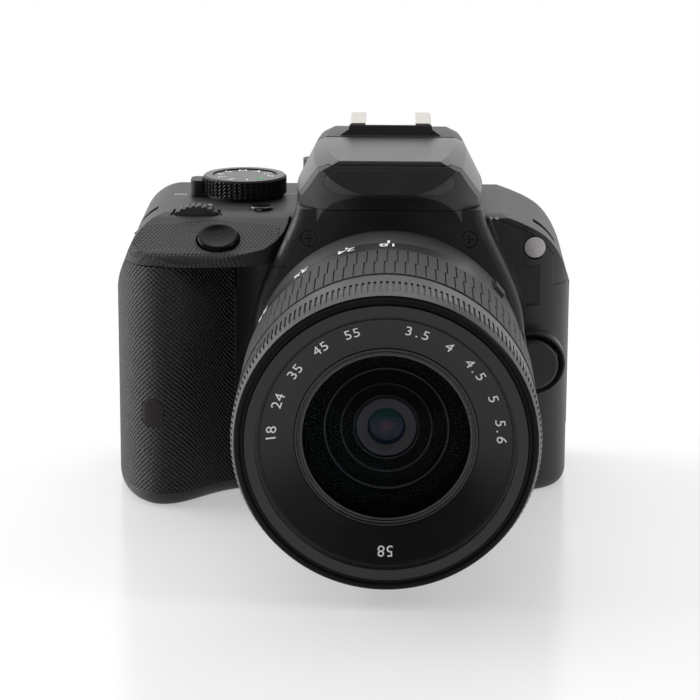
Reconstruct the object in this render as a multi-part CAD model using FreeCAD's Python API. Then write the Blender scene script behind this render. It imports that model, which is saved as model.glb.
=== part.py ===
import FreeCAD, Part
import math
import os

V = FreeCAD.Vector
os.makedirs("parts", exist_ok=True)

# Frame: origin at the mouth of the tripod socket, +Z up, the lens looks along -Y, +X to the viewer's right.
# Distances called "behind" are counted backwards from the lens seat, negative ones lie ahead of it.

# Camera body
SEAT_Y = -30.0            # lens seat, ahead of the tripod socket
AXIS_Z = 38.75            # lens axis above the base
BODY_LEFT = 70.4          # lens axis to the grip side of the body
BODY_RIGHT = 46.4         # lens axis to the other side of the body
BODY_REAR = 58.0          # rear face behind the lens seat
BODY_FRONT = 16.0         # front face beside the mount, behind the lens seat
DECK_Z = 72.0             # flat top deck
GRIP_SEAM_Z = 61.5        # seam between the grip and the top cover
HUMP_TOP_Z = 88.3         # top of the viewfinder hump
SHOE_RISE = 2.9           # accessory shoe rails above the hump
SHOE_TOP_Z = HUMP_TOP_Z + SHOE_RISE
BASE_ROUND = 3.5          # rounding along the base
SPLIT = 38.0              # seam between the front and rear covers, behind the lens seat
SEAM = 0.15               # visible gap between covers
WALL = 2.4                # wall of the covers
BLOCK_FRONT = 3.0         # front face of the mount block, behind the lens seat
BLOCK_ROUND = 2.2         # rounding of its front edge

# Fits
KEY_GAP = 0.2             # around keys and small pieces that slide
FIT_GAP = 0.05            # around shafts and pins
TURN_GAP = 0.3            # around dials and rings that turn
SEAT_GAP = 0.1            # between a piece and the pocket it is fixed in

# Lens
LENS_LENGTH = 75.2        # lens seat to the front edge
LENS_RADIUS = 34.5        # widest rings
FILTER_RADIUS = 29.0      # filter thread
BARREL_RADIUS = 33.2      # fixed barrel
ZOOM_START = 19.8         # rear edge of the zoom ring, ahead of the lens seat
ZOOM_END = 57.0           # front edge of the zoom ring, ahead of the lens seat
RUBBER_START = 31.5       # rear edge of the zoom rubber
RUBBER_WALL = 1.1         # zoom rubber
ZOOM_RIBS = 60            # ribs round the zoom rubber
FOCUS_KNURL = 7.5         # length of the knurled part of the focus ring
FOCUS_TEETH = 160         # teeth round the focus ring
SWITCH_ANGLES = (38.0, 16.0)  # places of the two slide switches on the barrel, in degrees above +X
TUBE_RADIUS = 31.3        # outside of the sliding front barrel
TUBE_WALL = 1.8           # wall of the sliding front barrel
SLEEVE_RADIUS = 27.4      # bore of the fixed sleeve inside the sliding barrel
ROD_CIRCLE = 15.0         # circle of the rods that guide the focus group
ROD_RADIUS = 0.9
GLASS_RADIUS = 18.6       # visible front glass
THROAT_RADIUS = 27.0      # opening of the body's lens mount
MOUNT_RADIUS = 32.0       # outside of the body's lens mount

# Controls on the top
MODE_X = -37.4
MODE_BEHIND = 41.0
MODE_RADIUS = 10.75
MODE_HEIGHT = 4.5
LEVER_THICK = 0.6
WHEEL_X = -48.2
WHEEL_BEHIND = 16.6
WHEEL_RADIUS = 9.0
WHEEL_WIDTH = 4.6
WHEEL_Z = 64.8
SHUTTER_X = -42.2
SHUTTER_BEHIND = 7.9
SHUTTER_Z = 67.0
SHUTTER_RADIUS = 5.1
SHUTTER_TILT = 27.5       # slope of the deck under the shutter button, in degrees
ISO_X = -32.2
ISO_BEHIND = 22.0
ISO_RADIUS = 2.8
KEY_TRAVEL = 0.8          # how far keys go in
KEY_PROUD = KEY_TRAVEL + 0.1
FLASH_KEY_X = 25.0
FLASH_KEY_BEHIND = 10.8
FLASH_KEY_Z = 69.6
FLASH_KEY_TILT = 22.0     # slope of the mount block's side there, in degrees

# Front details
RELEASE_X = 36.2
RELEASE_Z = 35.0
RELEASE_RADIUS = 6.3
LAMP_X = 36.4
LAMP_Z = 64.0
LAMP_RADIUS = 2.6
SCREW_X = 19.6
SCREW_Z = 68.6

# Accessory shoe
SHOE_HALF = 10.4          # outside half width
SHOE_LIP_HALF = 6.4       # half of the gap between the lips
SHOE_FRONT = 39.2         # behind the lens seat
SHOE_LENGTH = 17.6
SHOE_SHEET = 1.1          # sheet thickness of the shoe

# Flash
FLASH_REAR = 36.4         # rear edge of the flash head, behind the lens seat
FLASH_HINGE_ROUND = 1.7   # rounding of that edge, about the hinge
FLASH_PIN_RADIUS = 0.7
FLASH_LUG_RADIUS = 1.3
FLASH_ROOF = 3.9          # thickness of the flash head's roof
FLASH_LIP_Z = 86.8        # lower edge of the flash head at its front
FLASH_TIP_Z = 78.2        # lowest point of its arms

# Rear
LCD_WIDTH = 69.0
LCD_HEIGHT = 48.0
LCD_X = 7.5               # centre
LCD_Z = 30.0              # centre
EYECUP_WIDTH = 35.0
EYECUP_HEIGHT = 24.0
EYECUP_DEPTH = 5.8
EYE_Z = 73.5              # viewfinder window centre
DIOPTER_X = -19.2
DIOPTER_BEHIND = 52.8
DIOPTER_Z = 77.8
DIOPTER_RADIUS = 3.6
DIOPTER_HEIGHT = 3.6
KEYS_X = LCD_X - LCD_WIDTH / 2 - 18.0   # column of keys beside the display
CROSS_X = KEYS_X
CROSS_Z = 30.0
CROSS_RADIUS = 10.2
SET_RADIUS = 4.4
ROUND_KEYS = {            # X, Z and radius of each round rear key
    "menu_button": (LCD_X + LCD_WIDTH / 2 - 2.0, LCD_Z + LCD_HEIGHT / 2 + 4.0, 2.5),
    "info_button": (LCD_X + LCD_WIDTH / 2 - 10.5, LCD_Z + LCD_HEIGHT / 2 + 4.0, 2.5),
    "live_view_button": (-27.5, 66.0, 3.6),
    "ae_lock_button": (KEYS_X - 4.5, 58.2, 2.5),
    "af_point_button": (KEYS_X - 13.5, 58.2, 2.5),
    "play_button": (KEYS_X + 6.5, 10.5, 2.9),
    "delete_button": (KEYS_X - 6.5, 10.5, 2.9),
}

# Flap over the ports
FLAP_FRONT = 40.0
FLAP_REAR = 52.0
FLAP_LOW = 12.0
FLAP_HIGH = 50.0
FLAP_THICK = 1.55
FLAP_PROUD = 0.25         # how far it stands out of the side
FLAP_PIN_RADIUS = 0.45

# Battery and its door
DOOR_LEFT = -64.6         # sides of the door, along X
DOOR_RIGHT = -41.6
DOOR_FRONT = 18.6         # ends of the door, behind the lens seat
DOOR_REAR = 53.4
DOOR_THICK = 1.9
DOOR_RISE = 0.05          # how far the door lies above the base
DOOR_PIN_RADIUS = 0.55
LATCH_TRAVEL = 2.4
BATTERY_THICK = 12.5
BATTERY_WIDTH = 32.5
BATTERY_HEIGHT = 49.0

# Inside
SOCKET_RADIUS = 3.175     # quarter inch tripod thread
SOCKET_DEPTH = 6.0
SOCKET_WALL = 2.1
SENSOR_BEHIND = 44.0      # sensor plane behind the lens seat
SHUTTER_AHEAD = 6.4       # front of the shutter frame ahead of the sensor plane
SHUTTER_THICK = 3.6
BOARD_BEHIND = 5.4        # main board behind the sensor plane
MIRROR_LENGTH = 26.0
MIRROR_HINGE_BEHIND = 33.0
MIRROR_HINGE_RISE = 13.0  # hinge above the lens axis
GATE_WIDTH = 24.0
GATE_HEIGHT = 16.0


def at(behind):
    """Y of a place that lies this far behind the lens seat."""
    return SEAT_Y + behind


def box(x0, x1, b0, b1, z0, z1):
    """Box between two X, two distances behind the seat and two Z."""
    return Part.makeBox(x1 - x0, b1 - b0, z1 - z0, V(x0, at(b0), z0))


def rod_y(x, z, radius, b0, b1):
    """Cylinder along Y between two distances behind the seat."""
    return Part.makeCylinder(radius, b1 - b0, V(x, at(b0), z), V(0, 1, 0))


def rod_z(x, behind, radius, z0, z1):
    """Upright cylinder."""
    return Part.makeCylinder(radius, z1 - z0, V(x, at(behind), z0), V(0, 0, 1))


def rod_x(behind, z, radius, x0, x1):
    """Cylinder along X."""
    return Part.makeCylinder(radius, x1 - x0, V(x0, at(behind), z), V(1, 0, 0))


def ring_y(inner, outer, b0, b1):
    """Ring round the lens axis between two distances behind the seat."""
    return rod_y(0, AXIS_Z, outer, b0, b1).cut(rod_y(0, AXIS_Z, inner, b0 - 1, b1 + 1))


def lathe(profile):
    """Solid of revolution round the lens axis; profile points are (radius, behind)."""
    points = [V(r, at(b), AXIS_Z) for r, b in profile]
    face = Part.Face(Part.makePolygon(points + points[:1]))
    return face.revolve(V(0, 0, AXIS_Z), V(0, 1, 0), 360)


def joined(*shapes):
    """One solid from pieces that share faces."""
    result = shapes[0]
    for shape in shapes[1:]:
        result = result.fuse(shape)
    return result.removeSplitter()


def largest(shape):
    """Biggest solid of a shape, without the slivers that a seam leaves."""
    return max(shape.Solids, key=lambda s: s.Volume)


def trace(place, steps):
    """Closed wire through steps: a point is a line to it, a list is a smooth curve through its points."""
    edges = []
    first = None
    last = None
    for step in steps:
        if isinstance(step, list):
            curve = Part.BSplineCurve()
            curve.interpolate([last] + [place(*p) for p in step])
            edges.append(curve.toShape())
            last = place(*step[-1])
        else:
            point = place(*step)
            if last is not None:
                edges.append(Part.makeLine(last, point))
            last = point
        if first is None:
            first = last
    if (last - first).Length > 1e-6:
        edges.append(Part.makeLine(last, first))
    return Part.Wire(Part.__sortEdges__(edges))


def plan_prism(steps, z0, z1):
    """Prism of a plan outline of (X, behind)."""
    wire = trace(lambda x, b: V(x, at(b), z0), steps)
    return Part.Face(wire).extrude(V(0, 0, z1 - z0))


def front_prism(steps, b0, b1):
    """Prism of a front view outline of (X, Z)."""
    wire = trace(lambda x, z: V(x, at(b0), z), steps)
    return Part.Face(wire).extrude(V(0, b1 - b0, 0))


def side_prism(steps, x0, x1):
    """Prism of a side view outline of (behind, Z)."""
    wire = trace(lambda b, z: V(x0, at(b), z), steps)
    return Part.Face(wire).extrude(V(x1 - x0, 0, 0))


def mirrored(steps):
    """Steps on the +X side followed by their mirror image back on the -X side."""
    return steps + [(-x, z) for x, z in reversed(steps)]


def edges_where(shape, test):
    """Edges whose whole length passes the test on points."""
    found = []
    for edge in shape.Edges:
        points = edge.discretize(5)
        if all(test(p) for p in points):
            found.append(edge)
    return found


def rounded_box(x0, x1, b0, b1, z0, z1, radius, axis):
    """Box whose four edges along one axis are rounded."""
    solid = box(x0, x1, b0, b1, z0, z1)
    along = {"x": V(1, 0, 0), "y": V(0, 1, 0), "z": V(0, 0, 1)}[axis]
    edges = [e for e in solid.Edges if abs(e.tangentAt(e.FirstParameter).dot(along)) > 0.99]
    return solid.makeFillet(radius, edges)


# Outer form of the body

def left_side():
    """Plan of the grip side, from its nose to the rear, as (X, behind)."""
    return [(8.6, 3.6), (5.0, 9.5), (2.5, 18.0), (1.0, 29.0), (0.0, 41.0)]


def rear_plan():
    """Plan of the rear and the end away from the grip, starting at the rear corner of the grip side."""
    corner = 5.0
    third = corner * 0.3
    r = BODY_RIGHT
    return [(-BODY_LEFT, BODY_REAR - 6.0),
            [(-BODY_LEFT + 1.75, BODY_REAR - 1.75), (-BODY_LEFT + 6.0, BODY_REAR)],
            (r - corner, BODY_REAR),
            [(r - third, BODY_REAR - third), (r, BODY_REAR - corner)],
            (r, BODY_REAR - 18.0),
            [(r - 0.6, BODY_FRONT + 13.0), (r - 2.6, BODY_FRONT + 5.5), (r - 7.0, BODY_FRONT + 1.2),
             (r - 13.0, BODY_FRONT)]]


def grip_outline():
    """Plan below the grip seam: the grip's nose and the finger recess beside it."""
    nose = [(32.4, 14.6), (27.4, 10.6), (21.9, 4.6), (17.4, 1.4), (13.2, 0.9)]
    points = [(x - BODY_LEFT, b) for x, b in nose + left_side()]
    return rear_plan() + [(37.4 - BODY_LEFT, BODY_FRONT), points]


def cap_outline():
    """Plan above the grip seam: the full platform that carries the shutter button."""
    nose = [(43.8, 9.5), (39.9, 4.6), (33.4, 1.9), (24.4, 0.9), (15.4, 1.0)]
    points = [(x - BODY_LEFT, b) for x, b in nose + left_side()]
    return rear_plan() + [(45.4 - BODY_LEFT, BODY_FRONT), points]


def deck_profile():
    """Side view of the top: front roll, slope under the shutter button, flat deck."""
    return [(0.7, GRIP_SEAM_Z - 3.0), (0.7, GRIP_SEAM_Z + 0.3),
            [(1.7, GRIP_SEAM_Z + 2.7), (4.2, DECK_Z - 6.6)],
            (15.4, DECK_Z - 0.9),
            [(18.0, DECK_Z - 0.15), (21.0, DECK_Z)],
            (BODY_REAR + 2.0, DECK_Z), (BODY_REAR + 2.0, GRIP_SEAM_Z - 3.0)]


def right_shoulder(inset):
    """Front view of the shoulder away from the grip, from the side up to the deck, as (X, Z)."""
    drops = [(0.5, 22.0), (1.8, 15.0), (4.2, 9.5), (7.4, 5.4), (11.4, 2.8), (18.4, 0.0)]
    return [(BODY_RIGHT - x - inset, DECK_Z - z - inset) for x, z in drops]


def shoulder_outline():
    """Front view of the whole body; the sides run outside it below the shoulders."""
    left = [(15.4, 0.0), (10.9, 1.4), (7.6, 4.4), (5.2, 9.4), (2.8, 15.5), (1.0, 23.0), (-0.3, 36.0)]
    points = [(x - BODY_LEFT, DECK_Z - z) for x, z in left]
    return [(-BODY_LEFT - 1.0, -1.0), (BODY_RIGHT + 1.0, -1.0), (BODY_RIGHT + 1.0, DECK_Z - 32.0),
            (BODY_RIGHT + 0.3, DECK_Z - 32.0), right_shoulder(0.0),
            points[0], points[1:], (-BODY_LEFT - 1.0, DECK_Z - 36.0)]


def main_form():
    """Body without the hump and the mount block."""
    lower = plan_prism(grip_outline(), 0.0, GRIP_SEAM_Z)
    base_edges = edges_where(lower, lambda p: p.z < 0.01)
    lower = lower.makeFillet(BASE_ROUND, base_edges)
    cap = plan_prism(cap_outline(), GRIP_SEAM_Z, DECK_Z + 1.0)
    cap = cap.common(side_prism(deck_profile(), -BODY_LEFT - 5.0, BODY_RIGHT + 5.0))
    whole = lower.fuse(cap)
    return whole.common(front_prism(shoulder_outline(), -5.0, BODY_REAR + 5.0))


def hump_section(behind, base, waist, shoulder, top):
    """One cross section of the hump, an even-sided outline in the front view."""
    steps = mirrored([(base, DECK_Z - 8.0), waist, shoulder, top])
    return trace(lambda x, z: V(x, at(behind), z), steps)


def hump_form():
    """Viewfinder hump, with its visor, sloping front plate and flat top."""
    t = HUMP_TOP_Z
    sections = [hump_section(-4.0, 19.5, (18.8, t - 10.3), (15.6, t - 3.4), (9.0, t - 0.8)),
                hump_section(14.0, 23.0, (22.5, t - 10.0), (18.6, t - 2.0), (15.0, t - 0.15)),
                hump_section(44.0, 23.2, (22.5, t - 10.0), (18.2, t - 1.4), (15.4, t)),
                hump_section(61.0, 21.5, (20.6, t - 10.3), (17.0, t - 2.6), (14.0, t - 1.0))]
    body = Part.makeLoft(sections, True, False)
    side = [(BLOCK_FRONT + 0.6, DECK_Z - 9.0), (BLOCK_FRONT + 0.6, DECK_Z - 3.0),
            [(1.9, t - 13.0), (-1.6, t - 8.6)], (-2.0, t - 7.8), (2.6, t - 1.6),
            [(3.6, t - 0.5), (5.6, t)],
            (54.0, t), [(57.4, t - 2.0), (58.6, t - 6.0)],
            (BODY_REAR + 0.8, DECK_Z - 9.0)]
    brow = [(22.6, 10.0), (17.5, 2.8), (10.0, -1.2), (0.0, -2.4), (-10.0, -1.2), (-17.5, 2.8), (-22.6, 10.0),
            (-24.5, 16.0)]
    plan = [(24.5, BODY_REAR + 2.0), (24.5, 16.0), brow, (-24.5, BODY_REAR + 2.0)]
    body = body.common(side_prism(side, -30.0, 30.0))
    return body.common(plan_prism(plan, DECK_Z - 10.0, t + 3.0))


def block_form():
    """Mount block: the bell-shaped bulge that carries the lens mount."""
    right = [(25.5, 0.0), [(29.0, 10.0), (32.4, 22.0), (33.8, AXIS_Z), (33.0, 50.0), (30.2, 58.5),
                           (26.6, 66.0), (24.2, 71.0), (22.6, 76.0)]]
    left = [(-22.6, 76.0), [(-24.2, 71.0), (-26.6, 66.0), (-30.2, 58.5), (-33.0, 50.0), (-33.8, AXIS_Z),
                            (-32.4, 22.0), (-29.0, 10.0), (-25.5, 0.0)]]
    block = front_prism(right + left, BLOCK_FRONT, BODY_FRONT + 4.0)
    front = edges_where(block, lambda p: abs(p.y - at(BLOCK_FRONT)) < 0.01)
    rim = [e for e in front if e.BoundBox.ZLength > 1.0 or e.BoundBox.ZMax < 1.0]
    return block.makeFillet(BLOCK_ROUND, rim)


def shoe_block():
    """Ramp that closes the front of the accessory shoe."""
    ramp = side_prism([(FLASH_REAR + 0.5, HUMP_TOP_Z - 0.6), (SHOE_FRONT - 0.9, SHOE_TOP_Z - 0.4),
                       (SHOE_FRONT + 0.2, SHOE_TOP_Z - 0.4), (SHOE_FRONT + 0.2, HUMP_TOP_Z - 1.5),
                       (FLASH_REAR + 0.5, HUMP_TOP_Z - 1.5)], -13.0, 13.0)
    face = front_prism(mirrored([(13.0, HUMP_TOP_Z - 2.0), (13.0, HUMP_TOP_Z),
                                 (SHOE_HALF + 0.3, SHOE_TOP_Z - 1.4), (SHOE_HALF, SHOE_TOP_Z)]), 30.0, 50.0)
    return ramp.common(face)


def release_boss():
    """Round boss beside the mount that holds the lens release button."""
    boss = rod_y(RELEASE_X, RELEASE_Z, RELEASE_RADIUS + 1.9, 12.0, BODY_FRONT + 2.0)
    front = edges_where(boss, lambda p: abs(p.y - at(12.0)) < 0.01)
    return boss.makeFillet(0.6, front)


# Hollows

def cavity_form():
    """Hollow inside the covers."""
    r = BODY_RIGHT
    front = BODY_FRONT + 2.5
    rear = BODY_REAR - 2.5
    main = front_prism([(-38.5, WALL + 0.6), (r - 3.0, WALL + 0.6), (r - 3.0, DECK_Z - 22.0),
                        (r - 6.0, DECK_Z - 13.0), (r - 9.4, DECK_Z - 9.0), (r - 16.4, DECK_Z - 5.0),
                        (r - 24.4, DECK_Z - WALL), (-38.5, DECK_Z - WALL)], front, rear)
    main = main.common(plan_prism([(-38.5, rear), (-38.5, front), (r - 13.5, front), (r - 9.0, front + 1.2),
                                   (r - 5.6, front + 4.6), (r - 3.4, front + 11.0), (r - 3.0, SPLIT + 2.0),
                                   (r - 3.0, rear - 3.0), (r - 6.0, rear)], 0.0, DECK_Z))
    grip_plan = [(2.9, 50.0), (3.0, 36.0), (4.6, 22.0), (8.2, 11.0), (12.4, 5.8), (16.4, 5.2), (21.0, 8.6),
                 (26.0, 14.6), (30.4, front), (32.4, front), (32.4, rear), (6.4, rear)]
    grip = plan_prism([(x - BODY_LEFT, b) for x, b in grip_plan], WALL + 0.6, DECK_Z - 18.0)
    upper = box(-BODY_LEFT + 9.6, -38.0, 14.4, rear, DECK_Z - 18.5, DECK_Z - 4.2)
    hump = front_prism(mirrored([(17.0, AXIS_Z + 17.6), (17.0, 79.0), (13.5, HUMP_TOP_Z - 6.0)]), 8.0, 55.0)
    return joined(main, grip, upper, hump)


def mount_bore():
    """Opening through the mount block."""
    return rod_y(0, AXIS_Z, THROAT_RADIUS + 0.3, BLOCK_FRONT - 2.0, BODY_FRONT + 3.0)


def top_cut(drop):
    """Everything that belongs to the top cover; drop lowers it to open the seam."""
    z = -drop
    rear = BODY_REAR + 8.0
    inset = 1.0
    left = box(-BODY_LEFT - 5.0, -25.0, -10.0, rear, GRIP_SEAM_Z + z, 99.0)
    middle = box(-25.0, 24.0, BODY_FRONT + 1.0, rear, GRIP_SEAM_Z + z, 99.0)
    visor = box(-25.0, 24.0, -10.0, BODY_FRONT + 1.0, 76.0 + z, 99.0)
    curve = [(x, h + z) for x, h in right_shoulder(inset)]
    skin = front_prism([(24.0, 99.0), (BODY_RIGHT + 5.0, 99.0), (BODY_RIGHT + 5.0, DECK_Z - 18.0 + z),
                        (BODY_RIGHT - 2.4, DECK_Z - 18.0 + z), curve[1:], (24.0, DECK_Z - inset + z)],
                       -10.0, BODY_FRONT + 2.5)
    behind_skin = box(24.0, BODY_RIGHT + 5.0, BODY_FRONT + 2.5, SPLIT, DECK_Z - 18.0 + z, 99.0)
    rear_right = box(24.0, BODY_RIGHT + 5.0, SPLIT, rear, GRIP_SEAM_Z + z, 99.0)
    return joined(left, middle, visor, skin, behind_skin, rear_right)


def flash_hinge():
    """Hinge axis of the flash head, as (behind, Z)."""
    return FLASH_REAR - FLASH_HINGE_ROUND, HUMP_TOP_Z - FLASH_HINGE_ROUND


def flash_lug(gap):
    """Fixed lug that the flash head's pin turns in; gap widens it into the head's slot."""
    b, z = flash_hinge()
    half = 3.0 + gap
    knuckle = rod_x(b, z, FLASH_LUG_RADIUS + gap, -half, half)
    stem = box(-half, half, b - FLASH_LUG_RADIUS - gap, b + 0.2 + gap, HUMP_TOP_Z - FLASH_ROOF - 1.0, z)
    return knuckle.fuse(stem)


def flash_tool(gap):
    """Space of the flash head: above and beside the fixed core of the hump."""
    g = gap
    hinge_b, hinge_z = flash_hinge()
    side = side_prism([(-9.0, 99.0), (-9.0, FLASH_LIP_Z - g), (4.6 - g, FLASH_LIP_Z - g),
                       (12.6 - g, FLASH_TIP_Z - g), (15.6, FLASH_TIP_Z - 0.2 - g),
                       (hinge_b + g, FLASH_TIP_Z + 1.6 - g), (hinge_b + g, 99.0)], -30.0, 30.0)
    side = side.fuse(rod_x(hinge_b, hinge_z, FLASH_HINGE_ROUND + 2.0 * g, -30.0, 30.0))
    roof = HUMP_TOP_Z - FLASH_ROOF - g
    core = front_prism(mirrored([(25.0 - g, 62.0), (20.2 - g, FLASH_TIP_Z), (16.2 - g, roof)]), -12.0, 60.0)
    return side.cut(core)


# Covers

def split_covers():
    """Front, rear and top covers, the fixed hump and the flash head from one outer form."""
    outer = joined(main_form(), block_form(), release_boss())
    hump = hump_form()
    outer = outer.fuse(hump)
    cavity = cavity_form()
    bore = mount_bore()
    shell = outer.cut(cavity).cut(bore)
    top = shell.common(top_cut(0.0)).cut(flash_tool(SEAM)).fuse(shoe_block())
    below = shell.cut(top_cut(SEAM))
    front = below.common(box(-90.0, 90.0, -20.0, SPLIT - SEAM / 2, -5.0, 99.0))
    rear = below.common(box(-90.0, 90.0, SPLIT + SEAM / 2, 90.0, -5.0, 99.0))
    head = hump.common(flash_tool(0.0))
    return outer, front, rear, top, head


def grip_skin(outer):
    """Textured skin round the grip, let into the front cover."""
    zone = box(-BODY_LEFT - 3.0, -38.6, -5.0, SPLIT - 6.0, 3.8, GRIP_SEAM_Z - SEAM)
    core_plan = [(x - BODY_LEFT, b) for x, b in
                 [(36.0, BODY_FRONT + 2.6), (31.0, 15.9), (26.4, 12.0), (21.2, 6.2), (17.2, 2.9), (13.4, 2.3),
                  (9.6, 4.6), (6.3, 10.1), (3.9, 18.3), (2.4, 29.2), (1.7, SPLIT - 5.0)]]
    core = plan_prism([core_plan[0], core_plan[1:], (-36.0, SPLIT - 5.0)], -1.0, 80.0)
    return outer.common(zone).cut(core)


def front_cover(front, skin):
    """Front cover with its pockets for the small pieces."""
    body = front.cut(skin)
    body = body.cut(rod_y(RELEASE_X, RELEASE_Z, RELEASE_RADIUS + KEY_GAP, 10.0, BODY_FRONT + 3.0))
    body = body.cut(Part.makeCone(RELEASE_RADIUS + 1.4, RELEASE_RADIUS + KEY_GAP, 1.2,
                                  V(RELEASE_X, at(12.0), RELEASE_Z), V(0, 1, 0)))
    body = body.cut(rod_y(LAMP_X, LAMP_Z, LAMP_RADIUS + SEAT_GAP, 10.0, BODY_FRONT + 3.0))
    body = body.cut(rod_y(LAMP_X, LAMP_Z, LAMP_RADIUS + 0.5, 10.0, BODY_FRONT + 0.7))
    body = body.cut(badge_pocket())
    body = body.cut(window_prism(SEAT_GAP))
    body = body.cut(rod_y(MOUNT_RADIUS - 2.6, AXIS_Z, 1.3 + KEY_GAP, -1.0, 12.0))
    for x in (-SCREW_X, SCREW_X):
        body = body.cut(rod_y(x, SCREW_Z, 2.1, -2.0, BLOCK_FRONT + 0.9))
        body = body.cut(rod_y(x, SCREW_Z, 1.0, -2.0, 8.0))
    body = body.cut(flash_button_solid(KEY_GAP, 3.0))
    body = body.cut(rod_z(0.0, -SEAT_Y, SOCKET_RADIUS + SOCKET_WALL + SEAT_GAP, -1.0, WALL + 3.0))
    return body.cut(base_pocket()).cut(door_solid(SEAM)).cut(door_pin(FIT_GAP)).cut(battery_solid(0.4))


def badge_pocket():
    """Shallow step in the front face, left bare."""
    plate = front_prism([(30.8, 59.0), (BODY_RIGHT + 2.0, 60.8), (BODY_RIGHT + 2.0, 50.2), (34.2, 49.0)],
                        BODY_FRONT - 3.0, BODY_FRONT + 0.5)
    return plate


def logo_plate(outer):
    """Plain raised plate on the front of the hump."""
    pill = front_prism([(11.0, HUMP_TOP_Z - 8.0), [(14.6, HUMP_TOP_Z - 7.2), (16.0, HUMP_TOP_Z - 5.6),
                                                   (14.6, HUMP_TOP_Z - 3.6), (11.0, HUMP_TOP_Z - 2.5)],
                        (-11.0, HUMP_TOP_Z - 2.5), [(-14.6, HUMP_TOP_Z - 3.6), (-16.0, HUMP_TOP_Z - 5.6),
                                                    (-14.6, HUMP_TOP_Z - 7.2), (-11.0, HUMP_TOP_Z - 8.0)]],
                       -8.0, 7.0)
    near = outer.common(pill)
    inner = near.copy()
    inner.translate(V(0, 0.8, -0.1))
    return largest(near.cut(inner).cut(flash_tool(SEAM)))


def window_prism(gap):
    """Upright oval of the remote sensor window, as a tool along Y."""
    x = -58.4
    z = 24.2
    half = 1.0
    radius = 2.7 + gap
    low = rod_y(x, z - half, radius, -4.0, 6.0)
    high = rod_y(x, z + half, radius, -4.0, 6.0)
    middle = box(x - radius, x + radius, -4.0, 6.0, z - half, z + half)
    return joined(low, high, middle)


def remote_window(outer):
    """Dark window of the remote sensor, flush with the grip."""
    return outer.common(window_prism(0.0)).cut(box(-90.0, 0.0, 5.0, 20.0, 0.0, 60.0))


def cover_screws():
    """Two screws beside the mount and four in the base, one node."""
    screws = []
    for x in (-SCREW_X, SCREW_X):
        head = rod_y(x, SCREW_Z, 1.9, BLOCK_FRONT + 0.1, BLOCK_FRONT + 0.9)
        b0 = BLOCK_FRONT - 1.0
        b1 = BLOCK_FRONT + 0.5
        cross = joined(box(x - 1.1, x + 1.1, b0, b1, SCREW_Z - 0.2, SCREW_Z + 0.2),
                       box(x - 0.2, x + 0.2, b0, b1, SCREW_Z - 1.1, SCREW_Z + 1.1))
        screws.append(joined(head.cut(cross), rod_y(x, SCREW_Z, 0.95, BLOCK_FRONT + 0.9, 7.9)))
    for x, b in base_screw_places():
        head = rod_z(x, b, 1.7, 0.3, 1.2)
        cross = joined(box(x - 1.0, x + 1.0, b - 0.2, b + 0.2, -1.0, 0.8),
                       box(x - 0.2, x + 0.2, b - 1.0, b + 1.0, -1.0, 0.8))
        screws.append(joined(head.cut(cross), rod_z(x, b, 0.9, 1.2, 2.6)))
    return Part.makeCompound(screws)


def base_screw_places():
    """Screws of the bottom plate as (X, behind)."""
    return [(-30.0, 24.0), (34.0, 24.0), (-30.0, 51.0), (34.0, 51.0)]


# Base

def base_pocket():
    """Pocket of the bottom plate with the holes of its screws."""
    pocket = rounded_box(-35.0 - SEAM, 39.0 + SEAM, 20.0 - SEAM, 55.0 + SEAM, -1.0, 1.7, 3.0, "z")
    return joined(pocket, *[rod_z(x, b, 0.9 + SEAT_GAP, 1.0, 2.8) for x, b in base_screw_places()])


def bottom_plate():
    """Plate let into the base, with its screw seats and the socket's hole."""
    plate = rounded_box(-35.0, 39.0, 20.0, 55.0, 0.0, 1.6, 3.0, "z")
    for x, b in base_screw_places():
        plate = plate.cut(rod_z(x, b, 1.8, -1.0, 1.2)).cut(rod_z(x, b, 1.0, -1.0, 3.0))
    return plate.cut(rod_z(0.0, -SEAT_Y, SOCKET_RADIUS + SOCKET_WALL + SEAT_GAP, -1.0, 3.0))


def tripod_socket():
    """Threaded socket under the lens axis, open at the base."""
    outer = rod_z(0.0, -SEAT_Y, SOCKET_RADIUS + SOCKET_WALL, 0.0, SOCKET_DEPTH + 1.5)
    flange = rod_z(0.0, -SEAT_Y, SOCKET_RADIUS + SOCKET_WALL + 2.9, WALL + 0.7, WALL + 2.0)
    return joined(outer, flange).cut(rod_z(0.0, -SEAT_Y, SOCKET_RADIUS, -1.0, SOCKET_DEPTH))


def door_solid(gap):
    """Battery door plate in the base of the grip; gap widens it into its pocket."""
    low = DOOR_RISE - 4.0 * gap
    plate = rounded_box(DOOR_LEFT - gap, DOOR_RIGHT + gap, DOOR_FRONT - gap, DOOR_REAR + gap, low,
                        DOOR_THICK + gap, 4.0, "z")
    hinge_side = box(DOOR_RIGHT - 6.0, DOOR_RIGHT + gap, DOOR_FRONT - gap, DOOR_REAR + gap, low,
                     DOOR_THICK + gap)
    return joined(plate, hinge_side)


def door_pin(gap):
    """Hinge pin of the battery door; gap widens it into its seats in the covers."""
    round_edge = (DOOR_THICK - DOOR_RISE) / 2
    return rod_y(DOOR_RIGHT - round_edge, DOOR_RISE + round_edge, DOOR_PIN_RADIUS + gap,
                 DOOR_FRONT - 0.3 - gap, DOOR_REAR + 0.3 + gap)


def battery_door():
    """Battery door with the slot of its latch, its hinge edge round about the pin."""
    round_edge = (DOOR_THICK - DOOR_RISE) / 2
    x = DOOR_RIGHT - round_edge
    edge = rod_y(x, DOOR_RISE + round_edge, round_edge, DOOR_FRONT, DOOR_REAR)
    swing = box(DOOR_LEFT, x, DOOR_FRONT, DOOR_REAR, DOOR_RISE, DOOR_THICK).fuse(edge)
    door = door_solid(0.0).common(swing).fuse(door_pin(0.0))
    return door.cut(latch_solid(KEY_GAP, LATCH_TRAVEL))


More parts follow.
